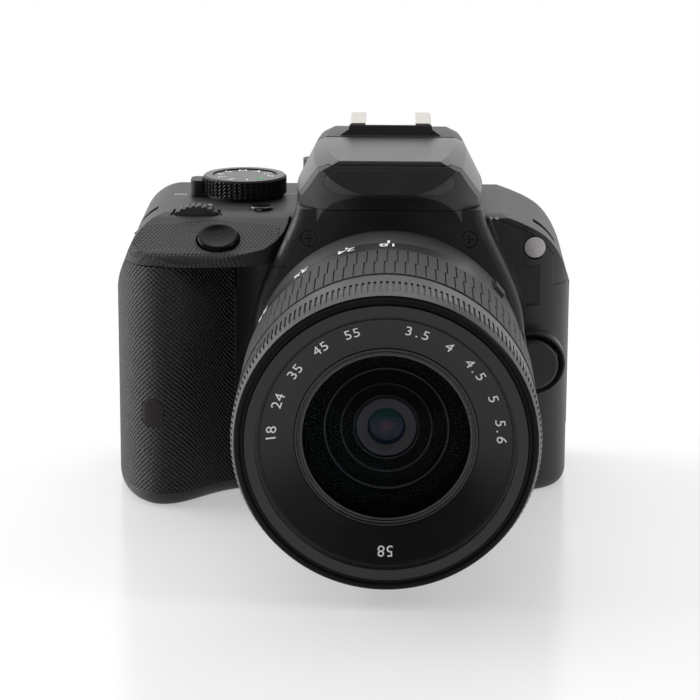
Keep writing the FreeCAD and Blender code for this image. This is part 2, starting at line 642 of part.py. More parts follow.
def latch_solid(gap, travel):
    """Sliding latch of the battery door; gap and travel turn it into its slot."""
    x = DOOR_LEFT + 4.0
    b = (DOOR_FRONT + DOOR_REAR) / 2
    return rounded_box(x - gap, x + 4.4 + gap, b - 4.0 - gap, b + 4.0 + gap + travel, DOOR_RISE - gap,
                       DOOR_THICK - 0.7 + gap, 1.5, "z")


def battery_solid(gap):
    """Battery pack standing in the grip on its door."""
    x0 = DOOR_RIGHT - BATTERY_THICK - 1.2
    b0 = DOOR_FRONT + 1.0
    z0 = DOOR_THICK + 0.25
    return rounded_box(x0 - gap, x0 + BATTERY_THICK + gap, b0 - gap, b0 + BATTERY_WIDTH + gap, z0 - gap,
                       z0 + BATTERY_HEIGHT + gap, 1.0 + gap, "z")


# Mount, mirror and sensor

def mount_ring():
    """Metal lens mount with three bayonet gaps."""
    ring = ring_y(THROAT_RADIUS, MOUNT_RADIUS, 0.0, BLOCK_FRONT - 0.05)
    lip = ring_y(THROAT_RADIUS - 1.6, THROAT_RADIUS + 0.2, 1.2, BLOCK_FRONT + 0.4)
    gaps = []
    for turn in range(3):
        gap = box(0.0, 40.0, -2.0, 12.0, AXIS_Z - 9.0, AXIS_Z + 9.0)
        gap.rotate(V(0, 0, AXIS_Z), V(0, 1, 0), 120.0 * turn + 45.0)
        gaps.append(gap.common(rod_y(0, AXIS_Z, THROAT_RADIUS + 0.01, -2.0, 12.0)))
    for gap in gaps:
        lip = lip.cut(gap)
    whole = ring.fuse(lip)
    return whole.cut(rod_y(MOUNT_RADIUS - 2.6, AXIS_Z, 1.3 + FIT_GAP, -1.0, 12.0))


def lock_pin():
    """Pin that locks the lens in its mount."""
    return rod_y(MOUNT_RADIUS - 2.6, AXIS_Z, 1.3, -1.2, 8.0)


def lens_release():
    """Round lens release button."""
    button = rod_y(RELEASE_X, RELEASE_Z, RELEASE_RADIUS, 10.4, BODY_FRONT + 0.6)
    front = edges_where(button, lambda p: abs(p.y - at(10.4)) < 0.01)
    return button.makeFillet(0.7, front)


def timer_lamp():
    """Lens of the self-timer lamp."""
    lamp = rod_y(LAMP_X, LAMP_Z, LAMP_RADIUS, BODY_FRONT + 0.1, BODY_FRONT + 2.8)
    dome = Part.makeSphere(6.0, V(LAMP_X, at(BODY_FRONT + 5.5), LAMP_Z))
    cap = dome.common(rod_y(LAMP_X, LAMP_Z, LAMP_RADIUS, BODY_FRONT - 2.0, BODY_FRONT + 0.1))
    return joined(lamp, cap)


def mirror_box():
    """Housing behind the mount, open in front, behind and on top."""
    low = AXIS_Z - 17.0
    high = AXIS_Z + 16.6
    back = SENSOR_BEHIND - SHUTTER_AHEAD - 0.2
    shell = box(-20.0, 20.0, 8.0, back, low, high)
    collar = rod_y(0, AXIS_Z, THROAT_RADIUS, BLOCK_FRONT + 0.5, 10.0)
    whole = shell.fuse(collar)
    whole = whole.cut(box(-16.5, 16.5, 0.0, back - 1.8, AXIS_Z - 14.0, AXIS_Z + 15.0))
    whole = whole.cut(rod_y(0, AXIS_Z, THROAT_RADIUS - 3.0, 0.0, 9.0))
    whole = whole.cut(box(-GATE_WIDTH / 2, GATE_WIDTH / 2, back - 7.0, back + 2.0, AXIS_Z - 8.5,
                          AXIS_Z + 8.5))
    return whole.cut(box(-14.0, 14.0, 12.0, 31.0, AXIS_Z + 10.0, high + 1.0))


def main_mirror():
    """Reflex mirror resting at 45 degrees below its hinge."""
    hinge = V(0, at(MIRROR_HINGE_BEHIND), AXIS_Z + MIRROR_HINGE_RISE)
    plate = Part.makeBox(29.0, MIRROR_LENGTH, 1.4, V(-14.5, hinge.y - MIRROR_LENGTH, hinge.z - 0.7))
    rod = Part.makeCylinder(0.9, 32.6, V(-16.3, hinge.y, hinge.z), V(1, 0, 0))
    whole = joined(plate, rod)
    whole.rotate(hinge, V(1, 0, 0), 45.0)
    return whole


def shutter_unit():
    """Shutter frame with its gate and curtain slot."""
    front = SENSOR_BEHIND - SHUTTER_AHEAD
    frame = box(-21.0, 21.0, front, front + SHUTTER_THICK, AXIS_Z - 27.0, AXIS_Z + 17.0)
    frame = frame.cut(box(-GATE_WIDTH / 2, GATE_WIDTH / 2, front - 5.0, front + 9.0, AXIS_Z - GATE_HEIGHT / 2,
                          AXIS_Z + GATE_HEIGHT / 2))
    return frame.cut(box(-14.0, 14.0, front + 1.0, front + 2.0, AXIS_Z - 26.4,
                         AXIS_Z + GATE_HEIGHT / 2 + 0.6))


def shutter_curtain():
    """Curtain plate closing the gate at rest."""
    front = SENSOR_BEHIND - SHUTTER_AHEAD + 1.3
    half = GATE_HEIGHT / 2 + 0.4
    return box(-13.6, 13.6, front, front + 0.4, AXIS_Z - half, AXIS_Z + half)


def image_sensor():
    """Sensor package with its cover glass on a small plate."""
    chip = box(-15.0, 15.0, SENSOR_BEHIND - 1.8, SENSOR_BEHIND + 1.6, AXIS_Z - 11.5, AXIS_Z + 11.5)
    plate = box(-24.0, 24.0, SENSOR_BEHIND + 1.6, SENSOR_BEHIND + 2.8, AXIS_Z - 18.0, AXIS_Z + 18.0)
    foot = SENSOR_BEHIND - SHUTTER_AHEAD + SHUTTER_THICK + SEAT_GAP
    posts = [rod_y(x, z, 1.8, foot, SENSOR_BEHIND + 1.6)
             for x in (-19.0, 19.0) for z in (AXIS_Z - 15.0, AXIS_Z + 15.0)]
    return joined(chip, plate, *posts)


def main_board():
    """Circuit board behind the sensor, with its processor and connectors."""
    front = SENSOR_BEHIND + BOARD_BEHIND
    board = box(-37.0, 41.0, front, front + 1.2, 6.0, 56.0)
    chips = [box(-12.0, 4.0, front - 1.2, front, 28.0, 44.0), box(12.0, 22.0, front - 1.0, front, 14.0, 22.0)]
    spacers = [rod_y(x, z, 1.8, SENSOR_BEHIND + 2.8, front)
               for x in (-20.0, 20.0) for z in (AXIS_Z - 14.0, AXIS_Z + 14.0)]
    ports = box(38.0, 42.6, front - 6.4, front, 14.0, 40.0)
    return joined(board, ports, *chips, *spacers)


def pentamirror():
    """Viewfinder prism block above the mirror, with the focusing screen as its foot."""
    screen = box(-13.8, 13.8, 12.2, 30.8, AXIS_Z + 16.65, AXIS_Z + 19.0)
    roof = side_prism([(11.0, AXIS_Z + 19.0), (10.6, 66.0), (16.0, 80.6), (30.0, 80.6), (42.0, 76.5),
                       (42.0, 68.0), (34.0, AXIS_Z + 19.0)], -13.0, 13.0)
    house = front_prism(mirrored([(13.0, 50.0), (13.0, 72.0), (4.0, 81.0)]), 0.0, 60.0)
    return joined(screen, roof.common(house))


# Top controls

def mode_dial():
    """Mode dial with a knurled side and a short shaft."""
    z0 = DECK_Z + LEVER_THICK + 0.3
    z1 = z0 + MODE_HEIGHT
    dial = rod_z(MODE_X, MODE_BEHIND, MODE_RADIUS, z0, z1)
    top = edges_where(dial, lambda p: abs(p.z - z1) < 0.01)
    dial = dial.makeChamfer(0.45, top)
    notches = []
    for k in range(48):
        a = 2 * math.pi * k / 48
        r = MODE_RADIUS + 0.12
        notches.append(rod_z(MODE_X + r * math.cos(a), MODE_BEHIND + r * math.sin(a), 0.36, z0 - 1, z1 - 0.6))
    dial = dial.cut(Part.makeCompound(notches))
    dial = dial.cut(rod_z(MODE_X, MODE_BEHIND, MODE_RADIUS - 2.4, z1 - 0.25, z1 + 1))
    return joined(dial, rod_z(MODE_X, MODE_BEHIND, 3.0, DECK_Z - 4.4, z0))


def power_lever():
    """Power switch ring under the mode dial with its tab towards the grip end."""
    z0 = DECK_Z + 0.1
    ring = rod_z(MODE_X, MODE_BEHIND, MODE_RADIUS - 0.8, z0, z0 + LEVER_THICK)
    arm = rounded_box(MODE_X - MODE_RADIUS - 3.1, MODE_X - 6.0, MODE_BEHIND - 3.4, MODE_BEHIND + 3.4,
                      z0, z0 + LEVER_THICK, 1.6, "z")
    tab = rounded_box(MODE_X - MODE_RADIUS - 3.1, MODE_X - MODE_RADIUS + 1.0, MODE_BEHIND - 3.4,
                      MODE_BEHIND + 3.4, z0, z0 + MODE_HEIGHT - 0.4, 1.6, "z")
    tab = tab.cut(rod_z(MODE_X, MODE_BEHIND, MODE_RADIUS + TURN_GAP, z0 + LEVER_THICK, z0 + 9))
    whole = joined(ring, arm, tab)
    return whole.cut(rod_z(MODE_X, MODE_BEHIND, 3.0 + FIT_GAP, z0 - 1, z0 + 5))


def main_dial():
    """Ridged wheel whose rim stands out of the deck behind the shutter button."""
    wheel = rod_y(WHEEL_X, WHEEL_Z, WHEEL_RADIUS, WHEEL_BEHIND, WHEEL_BEHIND + WHEEL_WIDTH)
    grooves = []
    for k in range(36):
        a = 2 * math.pi * k / 36
        r = WHEEL_RADIUS + 0.15
        grooves.append(rod_y(WHEEL_X + r * math.cos(a), WHEEL_Z + r * math.sin(a), 0.5,
                             WHEEL_BEHIND - 1, WHEEL_BEHIND + WHEEL_WIDTH + 1))
    wheel = wheel.cut(Part.makeCompound(grooves))
    return joined(wheel, rod_y(WHEEL_X, WHEEL_Z, 1.5, WHEEL_BEHIND - 2.4, WHEEL_BEHIND + WHEEL_WIDTH + 2.4))


def wheel_bearings():
    """Two lugs under the deck that hold the wheel's axle."""
    b0 = WHEEL_BEHIND - 2.6
    b1 = WHEEL_BEHIND + WHEEL_WIDTH + 0.4
    lugs = joined(box(WHEEL_X - 3.0, WHEEL_X + 3.0, b0, b0 + 2.2, WHEEL_Z - 3.0, DECK_Z - 4.0),
                  box(WHEEL_X - 3.0, WHEEL_X + 3.0, b1, b1 + 2.2, WHEEL_Z - 3.0, DECK_Z - 4.0))
    return lugs.cut(rod_y(WHEEL_X, WHEEL_Z, 1.5 + FIT_GAP, 5.0, 30.0))


def shutter_frame(shape):
    """Moves a shape from the origin to the shutter button's tilted seat."""
    shape.rotate(V(0, 0, 0), V(1, 0, 0), SHUTTER_TILT)
    shape.translate(V(SHUTTER_X, at(SHUTTER_BEHIND), SHUTTER_Z))
    return shape


def shutter_button():
    """Shutter button with a dished top."""
    button = Part.makeCylinder(SHUTTER_RADIUS, 4.6, V(0, 0, -3.2))
    top = edges_where(button, lambda p: abs(p.z - 1.4) < 0.01)
    button = button.makeFillet(0.7, top)
    dish = Part.makeSphere(22.0, V(0, 0, 23.0))
    return shutter_frame(button.cut(dish))


def shutter_well():
    """Well of the shutter button in the deck."""
    well = Part.makeCylinder(SHUTTER_RADIUS + 0.35, 10.0, V(0, 0, -4.6))
    return shutter_frame(well)


def iso_button():
    """Small round key between the wheel and the mode dial."""
    button = rod_z(ISO_X, ISO_BEHIND, ISO_RADIUS, DECK_Z - 2.2, DECK_Z + KEY_PROUD)
    top = edges_where(button, lambda p: abs(p.z - DECK_Z - KEY_PROUD) < 0.01)
    return button.makeFillet(0.3, top)


def flash_button_solid(gap, deeper):
    """Oval key on the side of the mount block; gap and deeper turn it into its pocket."""
    half_wide = 1.7 + gap
    half_tall = 3.4 + gap
    key = rounded_box(-2.4 - deeper, KEY_PROUD, -half_wide, half_wide, -half_tall, half_tall,
                      half_wide - 0.05, "x")
    key.rotate(V(0, at(0), 0), V(0, 1, 0), -FLASH_KEY_TILT)
    key.translate(V(FLASH_KEY_X, FLASH_KEY_BEHIND, FLASH_KEY_Z))
    return key


# Hump

def shoe_channel():
    """Channel in the hump for the accessory shoe."""
    return box(-SHOE_HALF - SEAT_GAP, SHOE_HALF + SEAT_GAP, SHOE_FRONT - 0.05, 70.0, HUMP_TOP_Z - 1.2, 99.0)


def hot_shoe():
    """Accessory shoe: a folded sheet with two lips over a floor."""
    rear = SHOE_FRONT + SHOE_LENGTH
    floor = HUMP_TOP_Z - 1.2
    outside = rounded_box(-SHOE_HALF, SHOE_HALF, SHOE_FRONT, rear, floor, SHOE_TOP_Z, 0.7, "y")
    inside = box(-SHOE_HALF + SHOE_SHEET, SHOE_HALF - SHOE_SHEET, SHOE_FRONT - 1.0, rear + 1.0,
                 floor + SHOE_SHEET - 0.3, SHOE_TOP_Z - SHOE_SHEET)
    slot = box(-SHOE_LIP_HALF, SHOE_LIP_HALF, SHOE_FRONT - 1.0, rear + 1.0, floor + SHOE_SHEET - 0.3, 99.0)
    shoe = outside.cut(inside).cut(slot)
    pad = rod_z(0.0, SHOE_FRONT + 8.8, 1.3, floor, floor + SHOE_SHEET)
    return joined(shoe, pad)


def flash_head(head):
    """Pop-up flash head with its lamp recess under the lip."""
    lamp = box(-12.0, 12.0, 5.2, 8.4, HUMP_TOP_Z - FLASH_ROOF - 1.0, HUMP_TOP_Z - 2.2)
    b, z = flash_hinge()
    rear_half = box(-3.15, 3.15, b, b + 3.0, HUMP_TOP_Z - FLASH_ROOF - 1.0, z)
    head = head.cut(lamp).cut(flash_lug(SEAM)).cut(rear_half)
    return largest(head.fuse(rod_x(b, z, FLASH_PIN_RADIUS, -4.5, 4.5)))


def top_cover(top):
    """Top cover with the seats of its controls."""
    body = top
    body = body.cut(rod_y(WHEEL_X, WHEEL_Z, WHEEL_RADIUS + TURN_GAP, WHEEL_BEHIND - TURN_GAP,
                          WHEEL_BEHIND + WHEEL_WIDTH + TURN_GAP))
    body = body.fuse(wheel_bearings())
    body = body.cut(rod_y(WHEEL_X, WHEEL_Z, 1.5 + FIT_GAP, WHEEL_BEHIND - 2.5, 30.0))
    body = body.cut(shutter_well())
    body = body.cut(rod_z(ISO_X, ISO_BEHIND, ISO_RADIUS + KEY_GAP, DECK_Z - 3.4, DECK_Z + 5))
    body = body.cut(rod_z(MODE_X, MODE_BEHIND, 3.0 + FIT_GAP, DECK_Z - 9.0, DECK_Z + 5))
    body = body.cut(shoe_channel())
    b, z = flash_hinge()
    body = body.fuse(flash_lug(0.0).cut(rod_x(b, z, FLASH_PIN_RADIUS + FIT_GAP, -9.0, 9.0)))
    body = body.cut(flash_button_solid(KEY_GAP, 3.0)).cut(round_key_holes())
    body = body.cut(eyepiece_well()).cut(diopter_knob_solid(KEY_GAP))
    for side in (-1, 1):
        body = body.cut(strap_pocket(side)).cut(strap_bar(side, FIT_GAP))
    body = body.cut(rod_y(LAMP_X, LAMP_Z, LAMP_RADIUS + SEAT_GAP, 10.0, BODY_FRONT + 3.0))
    return largest(body)


def strap_line(side):
    """Two ends of the strap bar on one shoulder, as (X, Z)."""
    if side < 0:
        return (12.2 - BODY_LEFT, DECK_Z - 1.5), (6.4 - BODY_LEFT, DECK_Z - 6.4)
    return (BODY_RIGHT - 10.6, DECK_Z - 3.9), (BODY_RIGHT - 5.0, DECK_Z - 9.4)


def strap_pocket(side):
    """Slot in the shoulder round the strap bar."""
    (xa, za), (xb, zb) = strap_line(side)
    length = math.hypot(xb - xa, zb - za)
    tilt = math.degrees(math.atan2(zb - za, xb - xa))
    slot = Part.makeBox(length, 4.4, 6.4, V(0, -2.2, -3.4))
    if side < 0:
        slot.mirror(V(0, 0, 0), V(0, 0, 1))
    slot.rotate(V(0, 0, 0), V(0, 1, 0), -tilt)
    slot.translate(V(xa, at(28.0), za))
    return slot


def strap_bar(side, gap):
    """Strap bar of one shoulder, its ends seated in the cover; gap widens it into its seat."""
    (xa, za), (xb, zb) = strap_line(side)
    along = V(xb - xa, 0, zb - za)
    start = V(xa, at(28.0), za - 0.9) - along * (0.8 / along.Length)
    return Part.makeCylinder(0.8 + gap, along.Length + 1.6, start, along)


def strap_lugs():
    """Two metal strap bars, one in each shoulder."""
    return Part.makeCompound([strap_bar(side, 0.0) for side in (-1, 1)])


# Rear

def eyepiece_well():
    """Rectangular opening of the viewfinder in the hump's rear."""
    return rounded_box(-11.5, 11.5, 50.0, 70.0, EYE_Z - 7.0, EYE_Z + 7.0, 2.5, "y")


def eyepiece_lens():
    """Eyepiece glass, rounded at its corners."""
    return rounded_box(-11.4, 11.4, 53.2, 56.0, EYE_Z - 6.9, EYE_Z + 6.9, 2.4, "y")


def eyecup():
    """Rubber eyecup round the viewfinder window."""
    half = EYECUP_WIDTH / 2
    low = EYE_Z - EYECUP_HEIGHT / 2 + 0.5
    high = EYE_Z + EYECUP_HEIGHT / 2 + 0.5
    b0 = BODY_REAR + 0.85
    outside = rounded_box(-half, half, b0, b0 + EYECUP_DEPTH, low, high, 5.5, "y")
    edge = edges_where(outside, lambda p: abs(p.y - at(b0 + EYECUP_DEPTH)) < 0.01)
    outside = outside.makeFillet(1.6, edge)
    inside = rounded_box(-12.2, 12.2, b0 - 1.0, b0 + 9.0, EYE_Z - 7.6, EYE_Z + 7.6, 3.0, "y")
    return outside.cut(inside)


def diopter_knob_solid(gap):
    """Dioptre wheel beside the eyepiece, its rim showing on the side of the hump."""
    half = DIOPTER_HEIGHT / 2 + gap
    return rod_z(DIOPTER_X, DIOPTER_BEHIND, DIOPTER_RADIUS + gap, DIOPTER_Z - half, DIOPTER_Z + half)


def lcd_window():
    """Cover glass of the display, let into the rear cover."""
    w = LCD_WIDTH / 2
    h = LCD_HEIGHT / 2
    return rounded_box(LCD_X - w, LCD_X + w, BODY_REAR - 1.0, BODY_REAR + 0.4, LCD_Z - h, LCD_Z + h, 2.5, "y")


def lcd_module():
    """Display panel behind its cover glass."""
    return box(LCD_X - 33.0, LCD_X + 33.0, BODY_REAR - 4.6, BODY_REAR - 1.05, LCD_Z - 23.0, LCD_Z + 23.0)


def rear_key(x, z, radius):
    """One round rear key standing out of the rear face."""
    key = rod_y(x, z, radius, BODY_REAR - 2.2, BODY_REAR + KEY_PROUD)
    edge = edges_where(key, lambda p: abs(p.y - at(BODY_REAR + KEY_PROUD)) < 0.01)
    return key.makeFillet(0.3, edge)


def round_key_holes():
    """Holes of the round rear keys through the covers' wall."""
    return Part.makeCompound([rod_y(x, z, radius + KEY_GAP, BODY_REAR - 6.0, BODY_REAR + 3.0)
                              for x, z, radius in ROUND_KEYS.values()])


def cross_keys():
    """Four-way ring round the set key."""
    ring = rod_y(CROSS_X, CROSS_Z, CROSS_RADIUS, BODY_REAR - 2.2, BODY_REAR + KEY_PROUD)
    ring = ring.cut(rod_y(CROSS_X, CROSS_Z, SET_RADIUS + KEY_GAP, BODY_REAR - 9, BODY_REAR + 9))
    rim = edges_where(ring, lambda p: abs(p.y - at(BODY_REAR + KEY_PROUD)) < 0.01)
    return ring.makeFillet(0.35, rim)


def rear_cover(rear):
    """Rear cover with its display pocket, key holes and port recess."""
    body = rear
    w = LCD_WIDTH / 2 + SEAT_GAP
    h = LCD_HEIGHT / 2 + SEAT_GAP
    body = body.cut(rounded_box(LCD_X - w, LCD_X + w, BODY_REAR - 1.0, BODY_REAR + 3.0, LCD_Z - h, LCD_Z + h,
                                2.6, "y"))
    body = body.cut(box(LCD_X - 33.1, LCD_X + 33.1, BODY_REAR - 9.0, BODY_REAR - 0.5,
                        LCD_Z - 23.1, LCD_Z + 23.1))
    body = body.cut(round_key_holes())
    body = body.cut(rod_y(CROSS_X, CROSS_Z, CROSS_RADIUS + KEY_GAP, BODY_REAR - 6.0, BODY_REAR + 3.0))
    body = body.cut(terminal_solid(SEAM)).cut(flap_pin(FIT_GAP)).cut(port_recess())
    body = body.cut(base_pocket()).cut(door_solid(SEAM)).cut(door_pin(FIT_GAP)).cut(battery_solid(0.4))
    return body.cut(thumb_zone(0.0))


def thumb_zone(gap):
    """Rubber thumb pad let into the rear beside the keys."""
    x0 = -BODY_LEFT + 5.8
    return rounded_box(x0 + gap, x0 + 7.4 - gap, BODY_REAR - 1.0 + gap, BODY_REAR + 1.2, 20.0 + gap,
                       52.0 - gap, 3.0, "y")


def terminal_solid(gap):
    """Rubber flap over the ports on the side away from the grip; gap widens it into its pocket."""
    x = BODY_RIGHT + FLAP_PROUD
    flap = rounded_box(x - FLAP_THICK - gap, x + 8.0 * gap, FLAP_FRONT - gap, FLAP_REAR + gap, FLAP_LOW - gap,
                       FLAP_HIGH + gap, 1.5, "x")
    hinge_side = box(x - FLAP_THICK - gap, x + 8.0 * gap, FLAP_FRONT - gap, FLAP_FRONT + 3.0, FLAP_LOW - gap,
                     FLAP_HIGH + gap)
    return joined(flap, hinge_side)


def flap_pin(gap):
    """Hinge pin of the flap; gap widens it into its seats in the rear cover."""
    half = FLAP_THICK / 2
    return rod_z(BODY_RIGHT + FLAP_PROUD - half, FLAP_FRONT + half, FLAP_PIN_RADIUS + gap,
                 FLAP_LOW - 0.5 - gap, FLAP_HIGH + 0.5 + gap)


def terminal_cover():
    """The flap with its hinge edge round about the pin."""
    half = FLAP_THICK / 2
    x = BODY_RIGHT + FLAP_PROUD
    edge = rod_z(x - half, FLAP_FRONT + half, half, FLAP_LOW, FLAP_HIGH)
    swing = box(x - FLAP_THICK, x, FLAP_FRONT + half, FLAP_REAR, FLAP_LOW, FLAP_HIGH).fuse(edge)
    return terminal_solid(0.0).common(swing).fuse(flap_pin(0.0))


def port_recess():
    """Recess behind the flap with the sockets."""
    return rounded_box(BODY_RIGHT - 3.6, BODY_RIGHT, FLAP_FRONT + 1.8, FLAP_REAR - 1.4, FLAP_LOW + 3.0,
                       FLAP_HIGH - 3.0, 1.5, "x")


# Lens

def lens_barrel():
    """Fixed rear barrel with its bayonet plate and rear tube."""
    sleeve = TUBE_RADIUS - TUBE_WALL - TURN_GAP
    return lathe([(24.2, 3.4), (25.1, 3.4), (25.1, -0.05), (31.6, -0.05), (32.2, -1.4), (BARREL_RADIUS, -3.6),
                  (BARREL_RADIUS, -ZOOM_START + 0.1), (sleeve, -ZOOM_START + 0.1), (sleeve, -48.0),
                  (SLEEVE_RADIUS, -48.0), (SLEEVE_RADIUS, -4.0), (24.2, -2.0)])


def switch_solid(angle, gap):
    """One slide switch on the fixed barrel at an angle above +X."""
    block = rounded_box(BARREL_RADIUS - 2.0, BARREL_RADIUS + 1.0, -14.6 - gap, -9.0 + gap,
                        AXIS_Z - 1.7 - gap, AXIS_Z + 1.7 + gap, 0.5, "x")
    block.rotate(V(0, 0, AXIS_Z), V(0, 1, 0), -angle)
    return block


def switch_slot(angle):
    """Slot that a slide switch travels in."""
    block = box(BARREL_RADIUS - 2.2, BARREL_RADIUS + 3.0, -14.6 - KEY_GAP, -9.0 + KEY_GAP + 2.4,
                AXIS_Z - 1.7 - KEY_GAP, AXIS_Z + 1.7 + KEY_GAP)
    block.rotate(V(0, 0, AXIS_Z), V(0, 1, 0), -angle)
    return block


def zoom_ring():
    """Zoom ring shell, smooth at the back where the scale is."""
    inner = TUBE_RADIUS + TURN_GAP
    seat = LENS_RADIUS - RUBBER_WALL
    return lathe([(inner, -ZOOM_START), (LENS_RADIUS - 0.9, -ZOOM_START),
                  (LENS_RADIUS - 0.6, -ZOOM_START - 0.8), (LENS_RADIUS - 0.5, -RUBBER_START),
                  (seat, -RUBBER_START), (seat, -ZOOM_END + 0.6),
                  (LENS_RADIUS - 0.2, -ZOOM_END + 0.6), (LENS_RADIUS - 0.5, -ZOOM_END), (inner, -ZOOM_END)])


def zoom_rubber():
    """Ribbed rubber sleeve on the zoom ring; alternate grooves sit on its two halves."""
    inner = LENS_RADIUS - RUBBER_WALL
    front = ZOOM_END - 0.6
    middle = (RUBBER_START + front) / 2
    sleeve = lathe([(inner, -RUBBER_START), (LENS_RADIUS - 0.3, -RUBBER_START),
                    (LENS_RADIUS, -RUBBER_START - 0.3), (LENS_RADIUS, -front + 0.3),
                    (LENS_RADIUS - 0.3, -front), (inner, -front)])
    grooves = []
    halves = [(-middle + 0.4, -RUBBER_START + 0.01), (-front - 0.01, -middle - 0.4)]
    for k in range(ZOOM_RIBS):
        for half, (b0, b1) in enumerate(halves):
            groove = box(LENS_RADIUS - 0.55, LENS_RADIUS + 2.0, b0, b1, AXIS_Z - 0.28, AXIS_Z + 0.28)
            groove.rotate(V(0, 0, AXIS_Z), V(0, 1, 0), 360.0 * (k + 0.5 * half) / ZOOM_RIBS)
            grooves.append(groove)
    return sleeve.cut(Part.makeCompound(grooves))


def front_barrel():
    """Sliding barrel that carries the front glass and the filter thread."""
    inner = TUBE_RADIUS - TUBE_WALL
    front = LENS_LENGTH - 0.2
    return lathe([(inner, -24.0), (TUBE_RADIUS, -24.0), (TUBE_RADIUS, -front), (FILTER_RADIUS, -front),
                  (FILTER_RADIUS, -front + 1.6), (FILTER_RADIUS - 1.0, -front + 1.9),
                  (FILTER_RADIUS - 1.0, -64.0), (GLASS_RADIUS + 1.5, -64.0), (GLASS_RADIUS + 1.5, -62.0),
                  (inner, -62.0)])


def name_ring():
    """Conical ring round the front glass; its lettering is plain numbers, added as a finish."""
    front = LENS_LENGTH - 1.9
    return lathe([(FILTER_RADIUS - 1.05, -front), (FILTER_RADIUS - 1.05, -front + 1.2),
                  (GLASS_RADIUS + 2.0, -66.4), (GLASS_RADIUS + 1.2, -66.4), (GLASS_RADIUS + 1.2, -69.2),
                  (GLASS_RADIUS + 3.4, -70.4)])


def front_element():
    """Front glass, bulging forwards."""
    radius = GLASS_RADIUS + 1.1
    body = rod_y(0, AXIS_Z, radius, -69.0, -62.6)
    dome = Part.makeSphere(52.0, V(0, at(-72.2 + 52.0), AXIS_Z))
    hollow = Part.makeSphere(40.0, V(0, at(-65.4 + 40.0), AXIS_Z))
    tip = rod_y(0, AXIS_Z, radius, -75.0, -69.0).common(dome)
    return joined(body, tip).cut(hollow)


def inner_group():
    """Dark stepped baffle and the stabiliser group behind the front glass."""
    outer = TUBE_RADIUS - TUBE_WALL - 0.1
    return lathe([(7.0, -60.0), (9.0, -60.6), (GLASS_RADIUS + 1.0, -62.2), (outer, -61.9), (outer, -58.0),
                  (14.0, -58.0), (14.0, -47.0), (7.0, -47.0)])


def inner_glass():
    """Cemented glass in the stabiliser group."""
    body = rod_y(0, AXIS_Z, 6.95, -58.0, -49.0)
    dome = Part.makeSphere(14.0, V(0, at(-59.6 + 14.0), AXIS_Z))
    tip = rod_y(0, AXIS_Z, 6.95, -60.0, -58.0).common(dome)
    return joined(body, tip)


def focus_group():
    """Focus glass in its cell, sliding on two rods."""
    rim = ROD_CIRCLE - ROD_RADIUS - SEAT_GAP
    return lathe([(0.0, -40.0), (6.0, -39.2), (9.5, -40.5), (rim, -40.5), (rim, -34.0), (9.5, -34.0),
                  (6.0, -35.6), (0.0, -36.2)])


def focus_carrier():
    """Aperture housing with the rods and motor that the focus group runs on."""
    outer = SLEEVE_RADIUS - SEAT_GAP
    ring = ring_y(9.0, outer, -46.9, -42.6)
    rods = [rod_y(ROD_CIRCLE * math.cos(a), AXIS_Z + ROD_CIRCLE * math.sin(a), ROD_RADIUS, -42.6, -27.0)
            for a in (math.radians(90), math.radians(210), math.radians(330))]
    end = ring_y(12.4, outer, -28.6, -26.8)
    motor = rod_y(-18.5, AXIS_Z - 6.0, 3.4, -42.6, -28.6)
    return joined(ring, end, motor, *rods)


def aperture_blades():
    """Seven blades round the stop, one group of separate solids."""
    blades = []
    for k in range(7):
        blade = ring_y(6.6, 8.9, -45.2, -44.9).common(box(0.3, 20.0, -60.0, 0.0, AXIS_Z - 3.7, AXIS_Z + 3.7))
        blade.rotate(V(0, 0, AXIS_Z), V(0, 1, 0), 360.0 * k / 7)
        blades.append(blade)
    return blades


def rear_element():
    """Rear glass in its cell, seated in the fixed barrel."""
    return lathe([(0.0, -8.0), (11.0, -8.6), (24.1, -3.2), (24.1, 2.6), (20.0, 2.6), (12.0, 1.2), (10.8, 2.2),
                  (0.0, 1.0)])


def focus_ring():
    """Focus ring on the front barrel: smooth band, fine knurl and front chamfer."""
    inner = TUBE_RADIUS + TURN_GAP - 0.1
    front = LENS_LENGTH
    back = ZOOM_END + 0.2
    knurl_front = front - 3.6
    knurl_back = knurl_front - FOCUS_KNURL
    ring = lathe([(inner, -back), (LENS_RADIUS - 0.5, -back), (LENS_RADIUS - 0.2, -back - 0.3),
                  (LENS_RADIUS - 0.2, -knurl_back + 0.4), (LENS_RADIUS - 0.8, -knurl_back + 0.2),
                  (LENS_RADIUS - 0.8, -knurl_back), (LENS_RADIUS, -knurl_back), (LENS_RADIUS, -knurl_front),
                  (LENS_RADIUS - 0.9, -front + 0.3), (LENS_RADIUS - 1.3, -front), (LENS_RADIUS - 1.9, -front),
                  (LENS_RADIUS - 2.3, -front + 1.0), (inner, -front + 1.0)])
    teeth = []
    for k in range(FOCUS_TEETH):
        tooth = box(LENS_RADIUS - 0.5, LENS_RADIUS + 1.0, -knurl_front - 1.6, -knurl_back + 0.01,
                    AXIS_Z - 0.3, AXIS_Z + 0.3)
        tooth.rotate(V(0, 0, AXIS_Z), V(0, 1, 0), 360.0 * k / FOCUS_TEETH)
        teeth.append(tooth)
    return ring.cut(Part.makeCompound(teeth))


